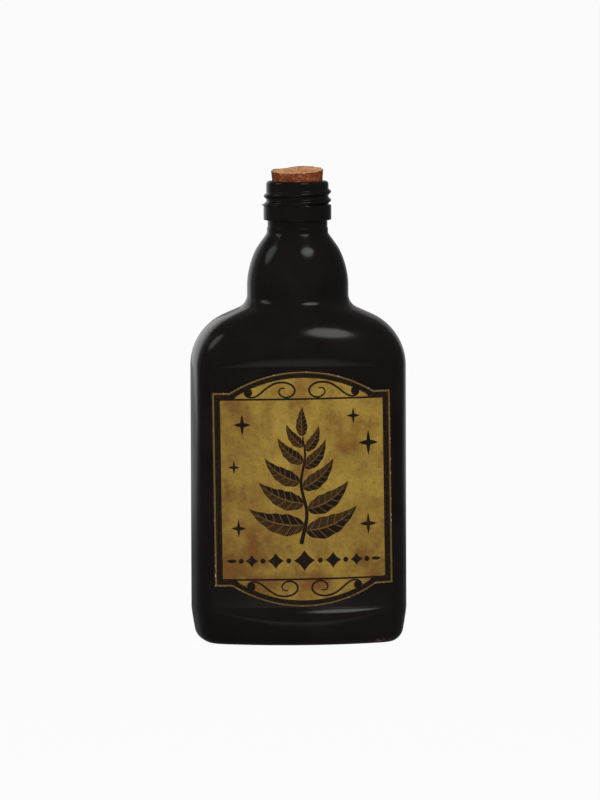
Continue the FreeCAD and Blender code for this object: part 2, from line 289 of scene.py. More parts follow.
# Form of the glass shell

# Turns of the surface over a quarter of the outline, and the turn over which its radius changes
FOLDED = np.linspace(0, QUARTER_TURN, 721)
CORNER_SOFTNESS = math.radians(9)


def running(values):
    """Running integral along the folded angle."""
    steps = (values[:, 1:] + values[:, :-1]) / 2 * (FOLDED[1] - FOLDED[0])
    return np.concatenate([np.zeros((len(values), 1)), np.cumsum(steps, axis=1)], axis=1)


class Outline:
    """Oblong outline seen from above, given by its radius of curvature.

    The radius is a function of the turn of the surface from the front.  It passes softly from a
    broad front radius to the corner radius and on to a side radius.  Points follow by adding up
    the radius times the cosine of the turn across, and times its sine in depth.
    """

    def __init__(self, sizes):
        front = 1 - smooth((FOLDED - sizes.front_angle) / CORNER_SOFTNESS + 0.5)
        side = smooth((FOLDED - sizes.side_angle) / CORNER_SOFTNESS + 0.5)
        shares = np.stack([front, 1 - front - side, side])
        self.across = running(shares * np.cos(FOLDED))
        self.deep = running(shares * np.sin(FOLDED))

    def radii(self, half_width, half_depth, corner):
        """Front, corner and side radii that give the wanted width and depth."""
        across, deep = self.across[:, -1], self.deep[:, -1]
        width, depth = half_width - corner * across[1], half_depth - corner * deep[1]
        scale = across[0] * deep[2] - across[2] * deep[0]
        front = (width * deep[2] - across[2] * depth) / scale
        side = (across[0] * depth - width * deep[0]) / scale
        return np.stack([front, corner, side], axis=-1)

    def points(self, turns, half_width, half_depth, corner):
        """Places at each turn: those of the first quarter, mirrored into the other three."""
        folded = QUARTER_TURN - np.abs(turns % HALF_TURN - QUARTER_TURN)
        across = np.stack([np.interp(folded, FOLDED, run) for run in self.across])
        deep = np.stack([np.interp(folded, FOLDED, run) for run in self.deep])
        radii = self.radii(half_width, half_depth, corner)
        x, y = radii @ across, radii @ deep - half_depth[:, None]
        return np.where(np.sin(turns) < 0, -x, x), np.where(np.cos(turns) < 0, -y, y)


def rise_of(wall, radius, lean, neck, fillet):
    """Height of a shoulder from the end of the upright wall to the upright neck.

    It is what lets a straight lean touch both the arc on the wall and the fillet on the neck.
    """
    reach = (neck + fillet - wall + radius) * math.cos(lean)
    return (radius + fillet - reach) / math.sin(lean)


def meridian(height, end, wall, radius, lean, neck, fillet):
    """Half-size of a shoulder by height: upright wall, arc, straight lean, hollow fillet, neck."""
    start = end - rise_of(wall, radius, lean, neck, fillet)
    arc_top, hollow = start + radius * math.sin(lean), end - fillet * math.sin(lean)
    arc = wall - radius + np.sqrt(np.maximum(radius ** 2 - (height - start) ** 2, 0))
    straight = wall - radius + radius * math.cos(lean) - (height - arc_top) * math.tan(lean)
    fillet_curve = neck + fillet - np.sqrt(np.maximum(fillet ** 2 - (end - height) ** 2, 0))
    return np.select([height <= start, height <= arc_top, height <= hollow, height < end],
                     [np.full_like(height, wall), arc, straight, fillet_curve], neck)


ARC_POINTS = 6


def rounded(corners):
    """Profile through corners of radius, height, rounding and spacing along the run that follows.

    Each corner but the first and the last becomes an arc that touches both of its runs.
    """
    places = np.array([corner[:2] for corner in corners])
    profile, last = [places[:1]], places[0]
    for index in range(1, len(corners)):
        turn = places[index:index + 1]
        if index < len(corners) - 1:
            corner, rounding = places[index], corners[index][2]
            before, after = places[index - 1] - corner, places[index + 1] - corner
            before, after = before / np.linalg.norm(before), after / np.linalg.norm(after)
            half = math.acos(np.clip(before @ after, -1, 1)) / 2
            inwards = (before + after) / np.linalg.norm(before + after)
            middle = corner + inwards * rounding / math.sin(half)
            first = corner + before * rounding / math.tan(half) - middle
            second = corner + after * rounding / math.tan(half) - middle
            sweep = math.pi - 2 * half
            part = np.linspace(0, 1, ARC_POINTS)[:, None]
            swept = np.sin((1 - part) * sweep) * first + np.sin(part * sweep) * second
            turn = middle + swept / math.sin(sweep)
        run, spacing = turn[0] - last, corners[index - 1][3]
        count = max(int(np.linalg.norm(run) / spacing), 1)
        profile += [last + run * np.linspace(0, 1, count + 1)[1:-1, None], turn]
        last = turn[-1]
    return np.concatenate(profile)


class Levels:
    """Heights of the shell's features, and its two shoulders as meridian takes them."""

    def __init__(self, s):
        shoulder_end = s.bulb_radius, s.neck_fillet
        self.side = (s.body_width / 2, s.shoulder_radius, s.side_lean, *shoulder_end)
        self.front = (s.body_depth / 2, s.shoulder_radius, s.front_lean, *shoulder_end)
        self.neck = s.side_height + rise_of(*self.side)
        self.bulb = self.neck + s.bulb_straight
        self.bulb_end = self.bulb + rise_of(s.bulb_radius, s.bulb_arc, s.bulb_lean, s.neck_radius,
                                            s.bulb_fillet)
        self.collar = self.bulb_end + s.neck_straight
        self.ring = self.collar + s.collar_height
        self.ring_top = self.ring + s.ring_height
        self.lip = self.ring_top + s.finish_height


def cork_radius(cork, below_top):
    """Radius of the tapered cork at a distance below the middle of its top."""
    return cork.top_radius - below_top * math.tan(cork.taper)


def mouth_radius(cork, depth):
    """Radius of the mouth at a depth below the lip: the cork's there, and its clearance."""
    return cork_radius(cork, cork.head_height + depth) + cork.clearance


def panel_form(s):
    """Radius of the label panel, and how far behind the middle of the bottle its axis lies.

    The panel is a cylinder through its two upright edges, which lie on the body's front, and
    through a middle that is sunk by the recess.
    """
    half_width, half_depth = np.array([s.body_width / 2]), np.array([s.body_depth / 2])
    body = Outline(s).radii(half_width, half_depth, np.array([s.corner_radius]))[0, 0]
    half = s.panel_width / 2
    drop = body - math.sqrt(body ** 2 - half ** 2) - s.panel_recess
    radius = (half ** 2 + drop ** 2) / (2 * drop)
    return radius, radius - (s.body_depth / 2 - s.panel_recess)


# Rounding of the crease between a panel and its ledges
PANEL_CREASE = 0.05 * MM


def panel_surface(s, x, z):
    """Depth of the panel: a cylinder about its own axis that swells out in an arc past each end."""
    radius, axis = panel_form(s)
    past = np.maximum(z - s.panel_bottom - s.panel_height, s.panel_bottom - z)
    past = larger(past, 0, PANEL_CREASE)
    lean = np.arcsin(np.clip(math.sin(s.ledge_lean) - past / s.ledge_radius, 0, 1))
    step = s.ledge_radius * (np.cos(lean) - math.cos(s.ledge_lean))
    return axis - np.sqrt((radius + step) ** 2 - x ** 2)


def spaced(low, high, step):
    """Even heights from low to high, about a step apart."""
    return np.linspace(low, high, int(round((high - low) / step)) + 1)


# Rows of the body's outside: how many on each curve, how far apart under and over the panel, and
# where about the panel's two ends
HEEL_ROWS, PANEL_ROWS, DOME_ROWS, HOLLOW_ROWS = 14, 14, 26, 14
LOWER_STEP, UPPER_STEP = 0.36 * MM, 0.34 * MM
CREASE_ROWS = np.array([-0.12, -0.04, 0.04, 0.12]) * MM
# How far the close rows reach into the panel, and how high they run over its upper end
LEDGE_INSIDE, LEDGE_SPAN = 3 * MM, 10 * MM


def outside_levels(s, at):
    """Heights of the rows from the standing ring to the neck, closer where the form turns."""
    panel_top = s.panel_bottom + s.panel_height
    ledge_low, ledge_high = s.panel_bottom + LEDGE_INSIDE, panel_top - LEDGE_INSIDE
    dome_start = ledge_high + LEDGE_SPAN
    dome_lean = math.asin((dome_start - s.side_height) / s.shoulder_radius)
    turn = np.linspace(0, QUARTER_TURN, HEEL_ROWS)
    dome = np.linspace(dome_lean, s.side_lean, DOME_ROWS)
    hollow = np.linspace(s.side_lean, 0, HOLLOW_ROWS)
    parts = [s.heel_corner * (1 - np.cos(turn)),
             spaced(s.heel_corner, ledge_low, LOWER_STEP),
             s.panel_bottom + CREASE_ROWS,
             np.linspace(ledge_low, ledge_high, PANEL_ROWS),
             panel_top + CREASE_ROWS,
             spaced(ledge_high, dome_start, UPPER_STEP),
             s.side_height + s.shoulder_radius * np.sin(dome),
             at.neck - s.neck_fillet * np.sin(hollow)]
    return np.unique(np.round(np.concatenate(parts), 7))


SCALE_COLUMN = 3


def rows(width, depth, corner, height, scale=1.0, body=0.0, thread=0.0, heel=0.0):
    """Table of rows: half-width, half-depth, corner radius, scale, height and three marks.

    The marks are for the body's outside, the threaded wall and the edge of the heel.
    """
    columns = np.broadcast_arrays(width, depth, corner, scale, height, body, thread, heel)
    return np.stack(columns, axis=-1).reshape(-1, len(columns))


def round_rows(profile, **marks):
    """Rows of a round part of the shell, from a profile of radii and heights."""
    radius, height = profile.T
    return rows(radius, radius, radius, height, **marks)


def corner_at(s, half_width):
    """Corner radius of a row, which passes from the body's to the bulb's as the row narrows."""
    body = s.body_width / 2
    narrowed = (body - half_width) / (body - s.bulb_radius)
    return s.corner_radius + (s.bulb_radius - s.corner_radius) * narrowed


# Underside: its rows, the scale of the smallest ring, and its sharpest corner
FLAT_ROWS, SLOPE_ROWS, POLE, LEAST_CORNER = 6, 8, 0.02, 2.0 * MM


def under_rows(s):
    """Underside: the flat of the hollow, then a soft step down to the standing ring."""
    half_width, half_depth = s.body_width / 2, s.body_depth / 2
    hollow = s.heel_taper + s.heel_corner + s.standing_ring + s.push_up_slope
    flat = rows(half_width - hollow, half_depth - hollow, LEAST_CORNER, s.push_up,
                np.linspace(POLE, 1, FLAT_ROWS))
    part = np.linspace(0, 1, SLOPE_ROWS)[1:]
    inset = hollow - s.push_up_slope * part
    slope = rows(half_width - inset, half_depth - inset, LEAST_CORNER,
                 s.push_up * (1 - smooth(part)))
    return np.concatenate([flat, slope])


# Heel: the power of its taper, and the height and spread of its wear as shares of its corner
TAPER_POWER, WEAR_HEIGHT, WEAR_SPREAD = 1.2, 1 / 3, 0.4


def body_rows(s, at):
    """Outside of the body: shoulder curves for width and depth, less the heel's taper and turn."""
    z = outside_levels(s, at)
    turn = np.arccos(np.clip(1 - z / s.heel_corner, -1, 1))
    inset = s.heel_taper * np.clip(1 - z / s.heel_height, 0, 1) ** TAPER_POWER
    inset = inset + np.where(z < s.heel_corner, s.heel_corner * (1 - np.sin(turn)), 0)
    width, depth = meridian(z, at.neck, *at.side), meridian(z, at.neck, *at.front)
    worn = np.exp(-((z / s.heel_corner - WEAR_HEIGHT) / WEAR_SPREAD) ** 2)
    return rows(width - inset, depth - inset, corner_at(s, width) - inset, z, body=1.0, heel=worn)


# Rows of the bulb on its foot, arc, straight lean and fillet, and the power that lifts its swell
FOOT_PARTS, BULB_ROWS, LEAN_ROWS, FILLET_ROWS, SWELL_POWER = (0.25, 0.5, 0.75), 24, 7, 8, 2.4


def bulb_curve(s, at):
    """Upright curve of the bulb: an arc from upright to its lean."""
    lean = np.linspace(0, s.bulb_lean, BULB_ROWS)
    centre = s.bulb_radius - s.bulb_arc
    return np.stack([centre + s.bulb_arc * np.cos(lean), at.bulb + s.bulb_arc * np.sin(lean)],
                    axis=-1)


def bulb_profile(s, at):
    """Bulb: upright foot, arc, straight lean and hollow fillet, swollen by a squared sine."""
    curve = bulb_curve(s, at)
    lean = np.linspace(s.bulb_lean, 0, FILLET_ROWS)
    fillet = np.stack([s.neck_radius + s.bulb_fillet - s.bulb_fillet * np.cos(lean),
                       at.bulb_end - s.bulb_fillet * np.sin(lean)], axis=-1)
    foot = np.array([[s.bulb_radius, at.neck + s.bulb_straight * part] for part in FOOT_PARTS])
    straight = curve[-1] + (fillet[0] - curve[-1]) * np.linspace(0, 1, LEAN_ROWS)[1:-1, None]
    profile = np.concatenate([foot, curve, straight, fillet])
    up = np.clip((profile[:, 1] - at.bulb) / (fillet[0, 1] - at.bulb), 0, 1)
    profile[:, 0] += s.bulb_swell * np.sin(math.pi * up ** SWELL_POWER) ** 2
    return profile


# Spacing of the rows on the finish, in the bore and on the threaded wall
FINE, WIDE, THREAD_STEP = 0.5 * MM, 1.5 * MM, 0.21 * MM
# How far inside the wall's radius, and below its foot, a row still carries the thread
WALL_SLACK, FOOT_SLACK = 0.02 * MM, 0.3 * MM


def finish_rows(s, cork, at):
    """Plain neck, collar, ring, threaded wall, lip and bore: one profile with rounded edges."""
    bore = mouth_radius(cork, cork.seat_depth)
    profile = rounded([
        (s.neck_radius, at.bulb_end, 0, FINE),
        (s.neck_radius, at.collar, 0.2 * MM, FINE),
        (s.collar_radius, at.collar, 0.04 * MM, FINE),
        (s.collar_radius, at.ring, 0.35 * MM, FINE),
        (s.ring_radius, at.ring, 0.4 * MM, FINE),
        (s.ring_radius, at.ring_top, 0.6 * MM, FINE),
        (s.finish_radius, at.ring_top, 0.35 * MM, THREAD_STEP),
        (s.finish_radius, at.lip, 1.3 * MM, FINE),
        (mouth_radius(cork, 0), at.lip, 0.6 * MM, WIDE),
        (bore, at.lip - cork.seat_depth, 0.3 * MM, WIDE),
        (bore, at.bulb_end - s.bulb_fillet, 0, WIDE)])[1:]
    radius, height = profile.T
    on_wall = (radius > s.finish_radius - WALL_SLACK) & (height > at.ring_top - FOOT_SLACK)
    return round_rows(profile, thread=on_wall.astype(float))


# Inside: rows of its shoulder and of the turn into its floor, and the scales of the floor's rings
INSIDE_ROWS, FLOOR_ROWS, FLOOR_SCALES = 14, 6, (0.6, 0.25, POLE)


def inside_rows(s, cork, at):
    """Inside: bulb, shoulder and floor, drawn in by the wall and turned under like the heel."""
    bore = mouth_radius(cork, cork.seat_depth)
    bulb = np.maximum(bulb_curve(s, at)[::-2] - [s.wall, 0], [bore, 0])
    half_depth = s.body_depth / 2 - s.panel_recess
    z = np.linspace(at.neck, s.side_height, INSIDE_ROWS)
    width, depth = meridian(z, at.neck, *at.side), meridian(z, at.neck, half_depth, *at.front[1:])
    shoulder = rows(width - s.wall, depth - s.wall, corner_at(s, width) - s.wall, z)
    turn = np.linspace(QUARTER_TURN, 0, FLOOR_ROWS)
    inset = s.wall + s.heel_corner * (1 - np.sin(turn))
    floor = rows(s.body_width / 2 - inset, half_depth - inset, s.corner_radius - inset,
                 s.base + s.heel_corner * (1 - np.cos(turn)))
    middle = floor[-1:].repeat(len(FLOOR_SCALES), axis=0)
    middle[:, SCALE_COLUMN] = FLOOR_SCALES
    return np.concatenate([round_rows(bulb), shoulder, floor, middle])


def shell_rows(s, cork):
    """Rows of the shell from under the base, up the outside, over the lip and down the inside."""
    at = Levels(s)
    return np.concatenate([under_rows(s), body_rows(s, at), round_rows(bulb_profile(s, at)),
                           finish_rows(s, cork, at), inside_rows(s, cork, at)])


# Thread: depth of its crest under the lip at the front, its ends, the turn over which they fade,
# half its width as a share of the pitch, and the power that rounds its ridge
THREAD_DEPTH, THREAD_FROM, THREAD_TO = 5.2 * MM, math.radians(-510), math.radians(165)
THREAD_FADE, RIDGE_HALF, RIDGE_POWER = 0.6, 0.36, 1.2


def thread_height(s, turns, z):
    """Height of the thread: a round ridge on a helix rising to the right, fading at both ends."""
    crest = Levels(s).lip - THREAD_DEPTH
    ridge = np.zeros_like(z)
    for lap in (-2, -1, 0):
        total = (turns + HALF_TURN) % FULL_TURN - HALF_TURN + lap * FULL_TURN
        begins = smooth((total - THREAD_FROM) / THREAD_FADE)
        ends = smooth((THREAD_TO - total) / THREAD_FADE)
        off = (z - crest - s.thread_pitch * total / FULL_TURN) / (RIDGE_HALF * s.thread_pitch)
        crown = np.cos(np.clip(off, -1, 1) * QUARTER_TURN) ** RIDGE_POWER
        ridge = np.maximum(ridge, begins * ends * crown)
    return ridge * (s.thread_radius - s.finish_radius)


SHELL_COLUMNS = 288
# Rounding of the ledges' outer edges: at the panel's sides, and how much more in its middle
EDGE_SIDE, EDGE_MIDDLE = 0.1 * MM, 1.9 * MM
# How far past its own width the panel's surface is followed
PANEL_REACH = 1.2
# Worn part of the heel: its two ends, the turns over which it fades, and the wear elsewhere
WORN_FROM, WORN_TO, WORN_FADES, WORN_LEAST = math.radians(9), math.radians(46), (0.1, 0.2), 0.25


def shell_points(s, cork):
    """Points of the whole shell and the wear marks on it.

    Each row is an outline scaled about the axis.  On the body the larger of outline and panel is
    taken as the depth, which sinks the panels, and on the finish the thread is added outwards.
    """
    table = shell_rows(s, cork)
    width, depth, corner, scale, height, body, thread, heel = table.T
    turns = np.linspace(0, FULL_TURN, SHELL_COLUMNS, endpoint=False) - HALF_TURN
    x, y = Outline(s).points(turns, width, depth, corner)
    x, y = x * scale[:, None], y * scale[:, None]
    z = np.broadcast_to(height[:, None], x.shape)
    half = s.panel_width / 2
    reach = half * PANEL_REACH
    soften = EDGE_SIDE + EDGE_MIDDLE * np.clip(1 - (x / half) ** 2, 0, 1)
    hollowed = larger(-np.abs(y), panel_surface(s, np.clip(x, -reach, reach), z), soften)
    y = np.where(body[:, None] > 0, np.where(y < 0, hollowed, -hollowed), y)
    ridge = thread[:, None] * thread_height(s, np.broadcast_to(turns, x.shape), z)
    out = 1 + ridge / np.maximum(np.hypot(x, y), MM)
    begins = smooth((turns - WORN_FROM) / WORN_FADES[0])
    ends = smooth((WORN_TO - turns) / WORN_FADES[1])
    wear = heel[:, None] * (WORN_LEAST + (1 - WORN_LEAST) * begins * ends)
    return np.stack([x * out, y * out, z], axis=-1), wear


# Form of the label and its print

EDGE_POINTS = 181


class LabelSheet:
    """The paper as a flat drawing, with a across and b up from its centre, bent to the panel."""

    def __init__(self, label, shell):
        self.label = label
        self.radius, self.axis = panel_form(shell)

    def arch(self, a):
        """Height of the arched end over the straight side: an arc of its width and rise."""
        half, rise = self.label.half_arch, self.label.arch_rise
        radius = (half ** 2 + rise ** 2) / (2 * rise)
        curve = np.sqrt(np.maximum(radius ** 2 - a ** 2, 0)) - radius + rise
        return np.where(np.abs(a) < half, curve, 0)

    def place(self, a, b, lift):
        """Points on the sheet, turned, bent to the panel's cylinder and lifted off it."""
        turn = self.label.turn
        x = a * math.cos(turn) - b * math.sin(turn)
        z = a * math.sin(turn) + b * math.cos(turn) + self.label.centre
        y = self.axis - np.sqrt((self.radius + lift) ** 2 - x ** 2)
        return np.stack([x, y, z], axis=-1)

    def from_edge(self, a, b):
        """Distance of each point from the paper's edge, the least of those to its short runs.

        It is stretched by the arches, so that their border comes out thinner.
        """
        label = self.label
        across = np.linspace(-label.half_width, label.half_width, EDGE_POINTS)
        upper = np.stack([across, label.half_side + self.arch(across)], axis=-1)
        edge = np.concatenate([upper, -upper, upper[:1]])
        starts, runs = edge[:-1], edge[1:] - edge[:-1]
        on_arch = np.abs(starts[:, 0] + runs[:, 0] / 2) < label.half_arch
        scales = np.where(on_arch, 1 / label.arch_border, 1)
        spots = np.stack([a.ravel(), b.ravel()], axis=-1)
        best = np.full(len(spots), np.inf)
        for start, run, scale in zip(starts, runs, scales):
            part = np.clip((spots - start) @ run / (run @ run), 0, 1)
            away = np.linalg.norm(spots - start - part[:, None] * run, axis=1)
            best = np.minimum(best, scale * away)
        return best.reshape(a.shape)


INK_LIFT = 0.03 * MM
PLAIN, VEINED = 0.0, 1.0


def ink_patch(sheet, spots, along=0.0, across=0.0, tone=PLAIN):
    """Points of a patch of ink on the paper, and its marks: place along and across, and tone."""
    points = sheet.place(spots[..., 0], spots[..., 1], sheet.label.thickness + INK_LIFT)
    mark = np.empty_like(points)
    mark[..., 0], mark[..., 1], mark[..., 2] = along, across, tone
    return points, mark


def stroke(sheet, path, widths):
    """Ribbon of ink along a path: stations along it, three points across each."""
    along = np.gradient(path, axis=0)
    along /= np.linalg.norm(along, axis=1, keepdims=True)
    side = np.stack([-along[:, 1], along[:, 0]], axis=-1)
    across = widths[:, None] * [-0.5, 0.0, 0.5]
    return ink_patch(sheet, path[:, None] + side[:, None] * across[..., None])


# Discs: points round each ring, rings, and the power that draws the edge in between points
DISC_POINTS, DISC_RINGS, PINCH_POWER = 65, 6, 0.6


def disc(sheet, centre, radius, tall=1.0, lobes=0, pinch=0.0):
    """Filled round, oval or pointed shape: rings about a centre, drawn in between the points."""
    turn = np.linspace(0, FULL_TURN, DISC_POINTS)
    reach = 1 - pinch * np.abs(np.sin(lobes * turn / 2)) ** PINCH_POWER
    ring = np.linspace(POLE, 1, DISC_RINGS)[:, None] * reach * radius
    a, b = centre[0] + ring * np.cos(turn), centre[1] + tall * ring * np.sin(turn)
    return ink_patch(sheet, np.stack([a, b], axis=-1))


LEAF_STATIONS, LEAF_POINTS = 48, 9
# Leaf: where its heading holds, the powers that shape it, its taper, its waves and its least half
LEAF_HOLD, LEAF_SKEW, LEAF_FULLNESS, LEAF_TAPER = 0.3, 0.7, 0.9, 0.35
LEAF_WAVE, LEAF_WAVES, LEAF_LEAST = 0.05, 26, 0.06 * MM


def leaf(sheet, base, heading, size, bend, breadth):
    """Leaf: a curved midrib, its width rising quickly and running out to a waved point."""
    part = np.linspace(0, 1, LEAF_STATIONS)
    turn = heading + bend * (part - LEAF_HOLD)
    forward = np.stack([np.cos(turn), np.sin(turn)], axis=-1)
    side = np.stack([-np.sin(turn), np.cos(turn)], axis=-1)
    rib = base + size * np.cumsum(forward, axis=0) / len(part)
    half = breadth * size * np.sin(math.pi * part ** LEAF_SKEW) ** LEAF_FULLNESS
    half = half * (1 - LEAF_TAPER * part)
    half = half * (1 + LEAF_WAVE * np.sin(LEAF_WAVES * part)) + LEAF_LEAST
    across = np.linspace(-1, 1, LEAF_POINTS)
    spots = rib[:, None] + side[:, None] * (half[:, None] * across)[..., None]
    return ink_patch(sheet, spots, part[:, None], across, VEINED)


# Scrolls, in millimetres on the upper left of the paper: the path, its stations, its width at the
# ends and how much more in the middle, and the drop at its outer end
SCROLL_KNOTS = [(-20.0, 39.6), (-21.3, 40.3), (-22.6, 39.5), (-22.6, 38.0), (-21.0, 37.0),
                (-18.8, 37.2), (-16.8, 38.4), (-14.4, 40.4), (-11.5, 42.2), (-8.1, 42.9),
                (-4.9, 42.2), (-3.0, 40.4), (-3.2, 38.4), (-4.8, 37.1), (-6.9, 36.9),
                (-8.7, 37.9), (-9.2, 39.3), (-8.3, 40.5), (-6.7, 40.5)]
SCROLL_STATIONS, SCROLL_WIDTH, SCROLL_SWELL = 140, 0.5, 0.3
DROP_ACROSS, DROP_UP, DROP_RADIUS = -21.3, 38.8, 1.55


def scrolls(sheet):
    """A pair of S-scrolls in each arch, thick in the middle, each with a drop at its outer end."""
    path = spline(np.array(SCROLL_KNOTS) * MM, SCROLL_STATIONS)
    swell = np.sin(np.linspace(0, math.pi, SCROLL_STATIONS))
    width = MM * (SCROLL_WIDTH + SCROLL_SWELL * swell)
    patches = []
    for across in (1, -1):
        for up in (1, -1):
            drop = DROP_ACROSS * MM * across, DROP_UP * MM * up
            patches += [stroke(sheet, path * [across, up], width),
                        disc(sheet, drop, DROP_RADIUS * MM)]
    return patches


# Sprig, in millimetres: its stem, the stem's stations and its width at each end
STEM_KNOTS = [(-1.2, -22), (1.2, -10), (-0.9, 2), (0.8, 13), (0.0, 21)]
STEM_STATIONS, STEM_FOOT, STEM_TIP = 80, 1.7, 0.6
# Leaf pairs: how many, the first one's size and how much shorter each next is, the stations of
# the first, the next and the left one, and the rise in degrees of the first, the next and a side
LEAF_PAIRS, LEAF_SIZE, LEAF_SHORTER = 5, 24, 3.1
LEAF_FIRST, LEAF_NEXT, LEAF_STAGGER = 9, 14, 4
RISE_FIRST, RISE_NEXT, RISE_SIDE = 10, 9, 4
LEAF_BEND, LEAF_BREADTH = 0.85, 0.2


def sprig(sheet):
    """An upright sprig: a wavy stem with paired leaves that shorten upwards, and one at its tip."""
    stem = spline(np.array(STEM_KNOTS) * MM, STEM_STATIONS)
    patches = [stroke(sheet, stem, np.linspace(STEM_FOOT, STEM_TIP, STEM_STATIONS) * MM)]
    for index in range(LEAF_PAIRS):
        size = (LEAF_SIZE - LEAF_SHORTER * index) * MM
        for way in (1, -1):
            base = stem[LEAF_FIRST + LEAF_NEXT * index + (0 if way > 0 else LEAF_STAGGER)]
            rise = math.radians(RISE_FIRST + RISE_NEXT * index + RISE_SIDE * way)
            heading = rise if way > 0 else math.pi - rise
            patches.append(leaf(sheet, base, heading, size, way * LEAF_BEND, LEAF_BREADTH))
    tip = dict(heading=math.radians(93), size=12.0 * MM, bend=-0.25, breadth=0.21)
    return patches + [leaf(sheet, stem[-1], **tip)]


# Small marks, in millimetres: places and sizes of the stars, and along one line those of the
# lozenges, the dots and the two ends of the tapered lines
STARS = [(-24, 26, 3.6), (20.5, 29, 2.8), (26.5, 18, 4.2), (-27.5, 9, 2.4), (-26, -15.5, 3.0),
         (26, -14.5, 3.6)]
LINE_UP = -28.6
LOZENGES = [(0, 4.3), (-11.5, 3.3), (11.5, 3.3), (-21.0, 2.5), (21.0, 2.5)]
DOTS, DOT_RADIUS = (-6.3, 6.3, -16.6, 16.6, -25.2, 25.2), 1.0
DASH_FROM, DASH_TO, DASH_WIDTH, DASH_LEAST = 27.2, 31.0, 1.3, 0.05
DASH_STATIONS, DASH_PHASE, DASH_POWER = 30, 0.5, 0.8


def small_marks(sheet):
    """Four-pointed stars by the sprig, and a line of lozenges, dots and tapered dashes under it."""
    star, lozenge = dict(tall=1.25, lobes=4, pinch=0.72), dict(lobes=4, pinch=0.42)
    low = LINE_UP * MM
    patches = [disc(sheet, (a * MM, b * MM), size * MM, **star) for a, b, size in STARS]
    patches += [disc(sheet, (a * MM, low), size * MM, **lozenge) for a, size in LOZENGES]
    patches += [disc(sheet, (a * MM, low), DOT_RADIUS * MM) for a in DOTS]
    taper = np.sin(np.linspace(DASH_PHASE, math.pi, DASH_STATIONS)) ** DASH_POWER
    for way in (1, -1):
        dash = [DASH_FROM * MM * way, low], [DASH_TO * MM * way, low]
        path = np.linspace(*dash, DASH_STATIONS)
        patches.append(stroke(sheet, path, DASH_WIDTH * MM * taper + DASH_LEAST * MM))
    return patches


# Form of the cork

# Columns, rows of the foot, the lower side, the upper side and the top, where on the side the
# close rows start, and the smallest ring
CORK_COLUMNS, CORK_FOOT_ROWS, LOWER_ROWS, UPPER_ROWS, CORK_TOP_ROWS = 200, 5, 16, 40, 72
CLOSE_FROM, CORK_POLE = 0.75, 0.03
# Where above the lip the texture begins, over what height, and how far down the side chips reach
TEXTURE_FROM, TEXTURE_FADE, CHIP_REACH = 0.4 * MM, 1.2 * MM, 1.1 * MM
# From what share of the radius chips start on the top
CHIP_FROM = 0.72
# Wavelengths and seeds of the lumps, the crumbs and the fine grain
LUMPS, CRUMBS, GRAINS = (5 * MM, 3), (1.6 * MM, 5), (0.8 * MM, 9)
# One large bite out of the edge behind: its middle, its spread and its share
BITE_AT, BITE_SPREAD, BITE_SHARE = math.radians(207), math.radians(24), 0.8
# Chips: an offset, the shares of lumps and crumbs, the deepest, and how far they eat in and down
CHIP_OFFSET, LUMP_SHARE, CRUMB_SHARE, CHIP_MOST = -0.1, 0.75, 0.45, 2.2
EATEN_IN, EATEN_DOWN = 0.55, 0.7
# Grain: its depth, the share of the fine grain, the lumps on the top, and the rise at its edge
GRAIN_DEPTH, GRAIN_SHARE, TOP_LUMPS, EDGE_RISE = 0.13 * MM, 0.6, 0.22 * MM, 0.2 * MM
# Lean of the head to the left, and how far above the lip it starts
HEAD_LEAN, LEAN_FROM = 0.03, 0.3 * MM


def cork_points(cork, lip):
    """Points of the cork and a mark for its cut top.

    Rows run out over the foot, up the tapered side and in over the slanted top.  Chips, where
    the sum of rough waves stands out, eat into the edge, and a fine grain covers what shows.
    """
    turns = np.linspace(0, FULL_TURN, CORK_COLUMNS, endpoint=False)
    out = np.linspace(CORK_POLE, 1, CORK_FOOT_ROWS)
    side = np.concatenate([np.linspace(0, CLOSE_FROM, LOWER_ROWS)[1:],
                           np.linspace(CLOSE_FROM, 1, UPPER_ROWS)[1:]])
    back = 1 - np.linspace(0, 1 - CORK_POLE, CORK_TOP_ROWS)[1:]
    reach = np.concatenate([out, np.ones_like(side), back])[:, None]
    up = np.concatenate([np.zeros_like(out), side, np.ones_like(back)])[:, None]
    top = np.concatenate([np.zeros_like(out), np.zeros_like(side), np.ones_like(back)])[:, None]

    foot = lip - cork.seat_depth
    height = lip + cork.head_height - foot
    across, deep = np.sin(turns), -np.cos(turns)
    slant = across * math.tan(cork.slant_left) + deep * math.tan(cork.slant_front)
    z = foot + up * (height + reach * (cork.top_radius * slant))
    radius = reach * cork_radius(cork, lip + cork.head_height - z)
    points = np.stack([radius * across, radius * deep, z], axis=-1)

    shown = smooth((z - lip - TEXTURE_FROM) / TEXTURE_FADE)
    near_edge = shown * np.exp(-((1 - up) * height / CHIP_REACH) ** 2)
    near_edge = near_edge * smooth((reach - CHIP_FROM) / (1 - CHIP_FROM))
    lumps, crumbs, grains = (ripple(points, *waves) for waves in (LUMPS, CRUMBS, GRAINS))
    bite = np.exp(-((turns - BITE_AT) / BITE_SPREAD) ** 2)
    chip = np.clip(CHIP_OFFSET + LUMP_SHARE * lumps + CRUMB_SHARE * crumbs, 0, CHIP_MOST)
    chip = near_edge * cork.roughness * (chip + BITE_SHARE * bite)
    grain = shown * GRAIN_DEPTH * (crumbs + GRAIN_SHARE * grains)
    eaten = EATEN_IN * chip + np.abs(grain) * (1 - top)
    raised = top * (grain + TOP_LUMPS * lumps * shown) + EDGE_RISE * near_edge
    from_axis = np.maximum(np.hypot(points[..., 0], points[..., 1]), MM)
    points[..., :2] *= (1 - eaten / from_axis)[..., None]
    points[..., 2] += raised - EATEN_DOWN * chip * up
    points[..., 0] -= HEAD_LEAN * np.maximum(points[..., 2] - lip - LEAN_FROM, 0)
    return points, np.broadcast_to(top, z.shape)


# Materials

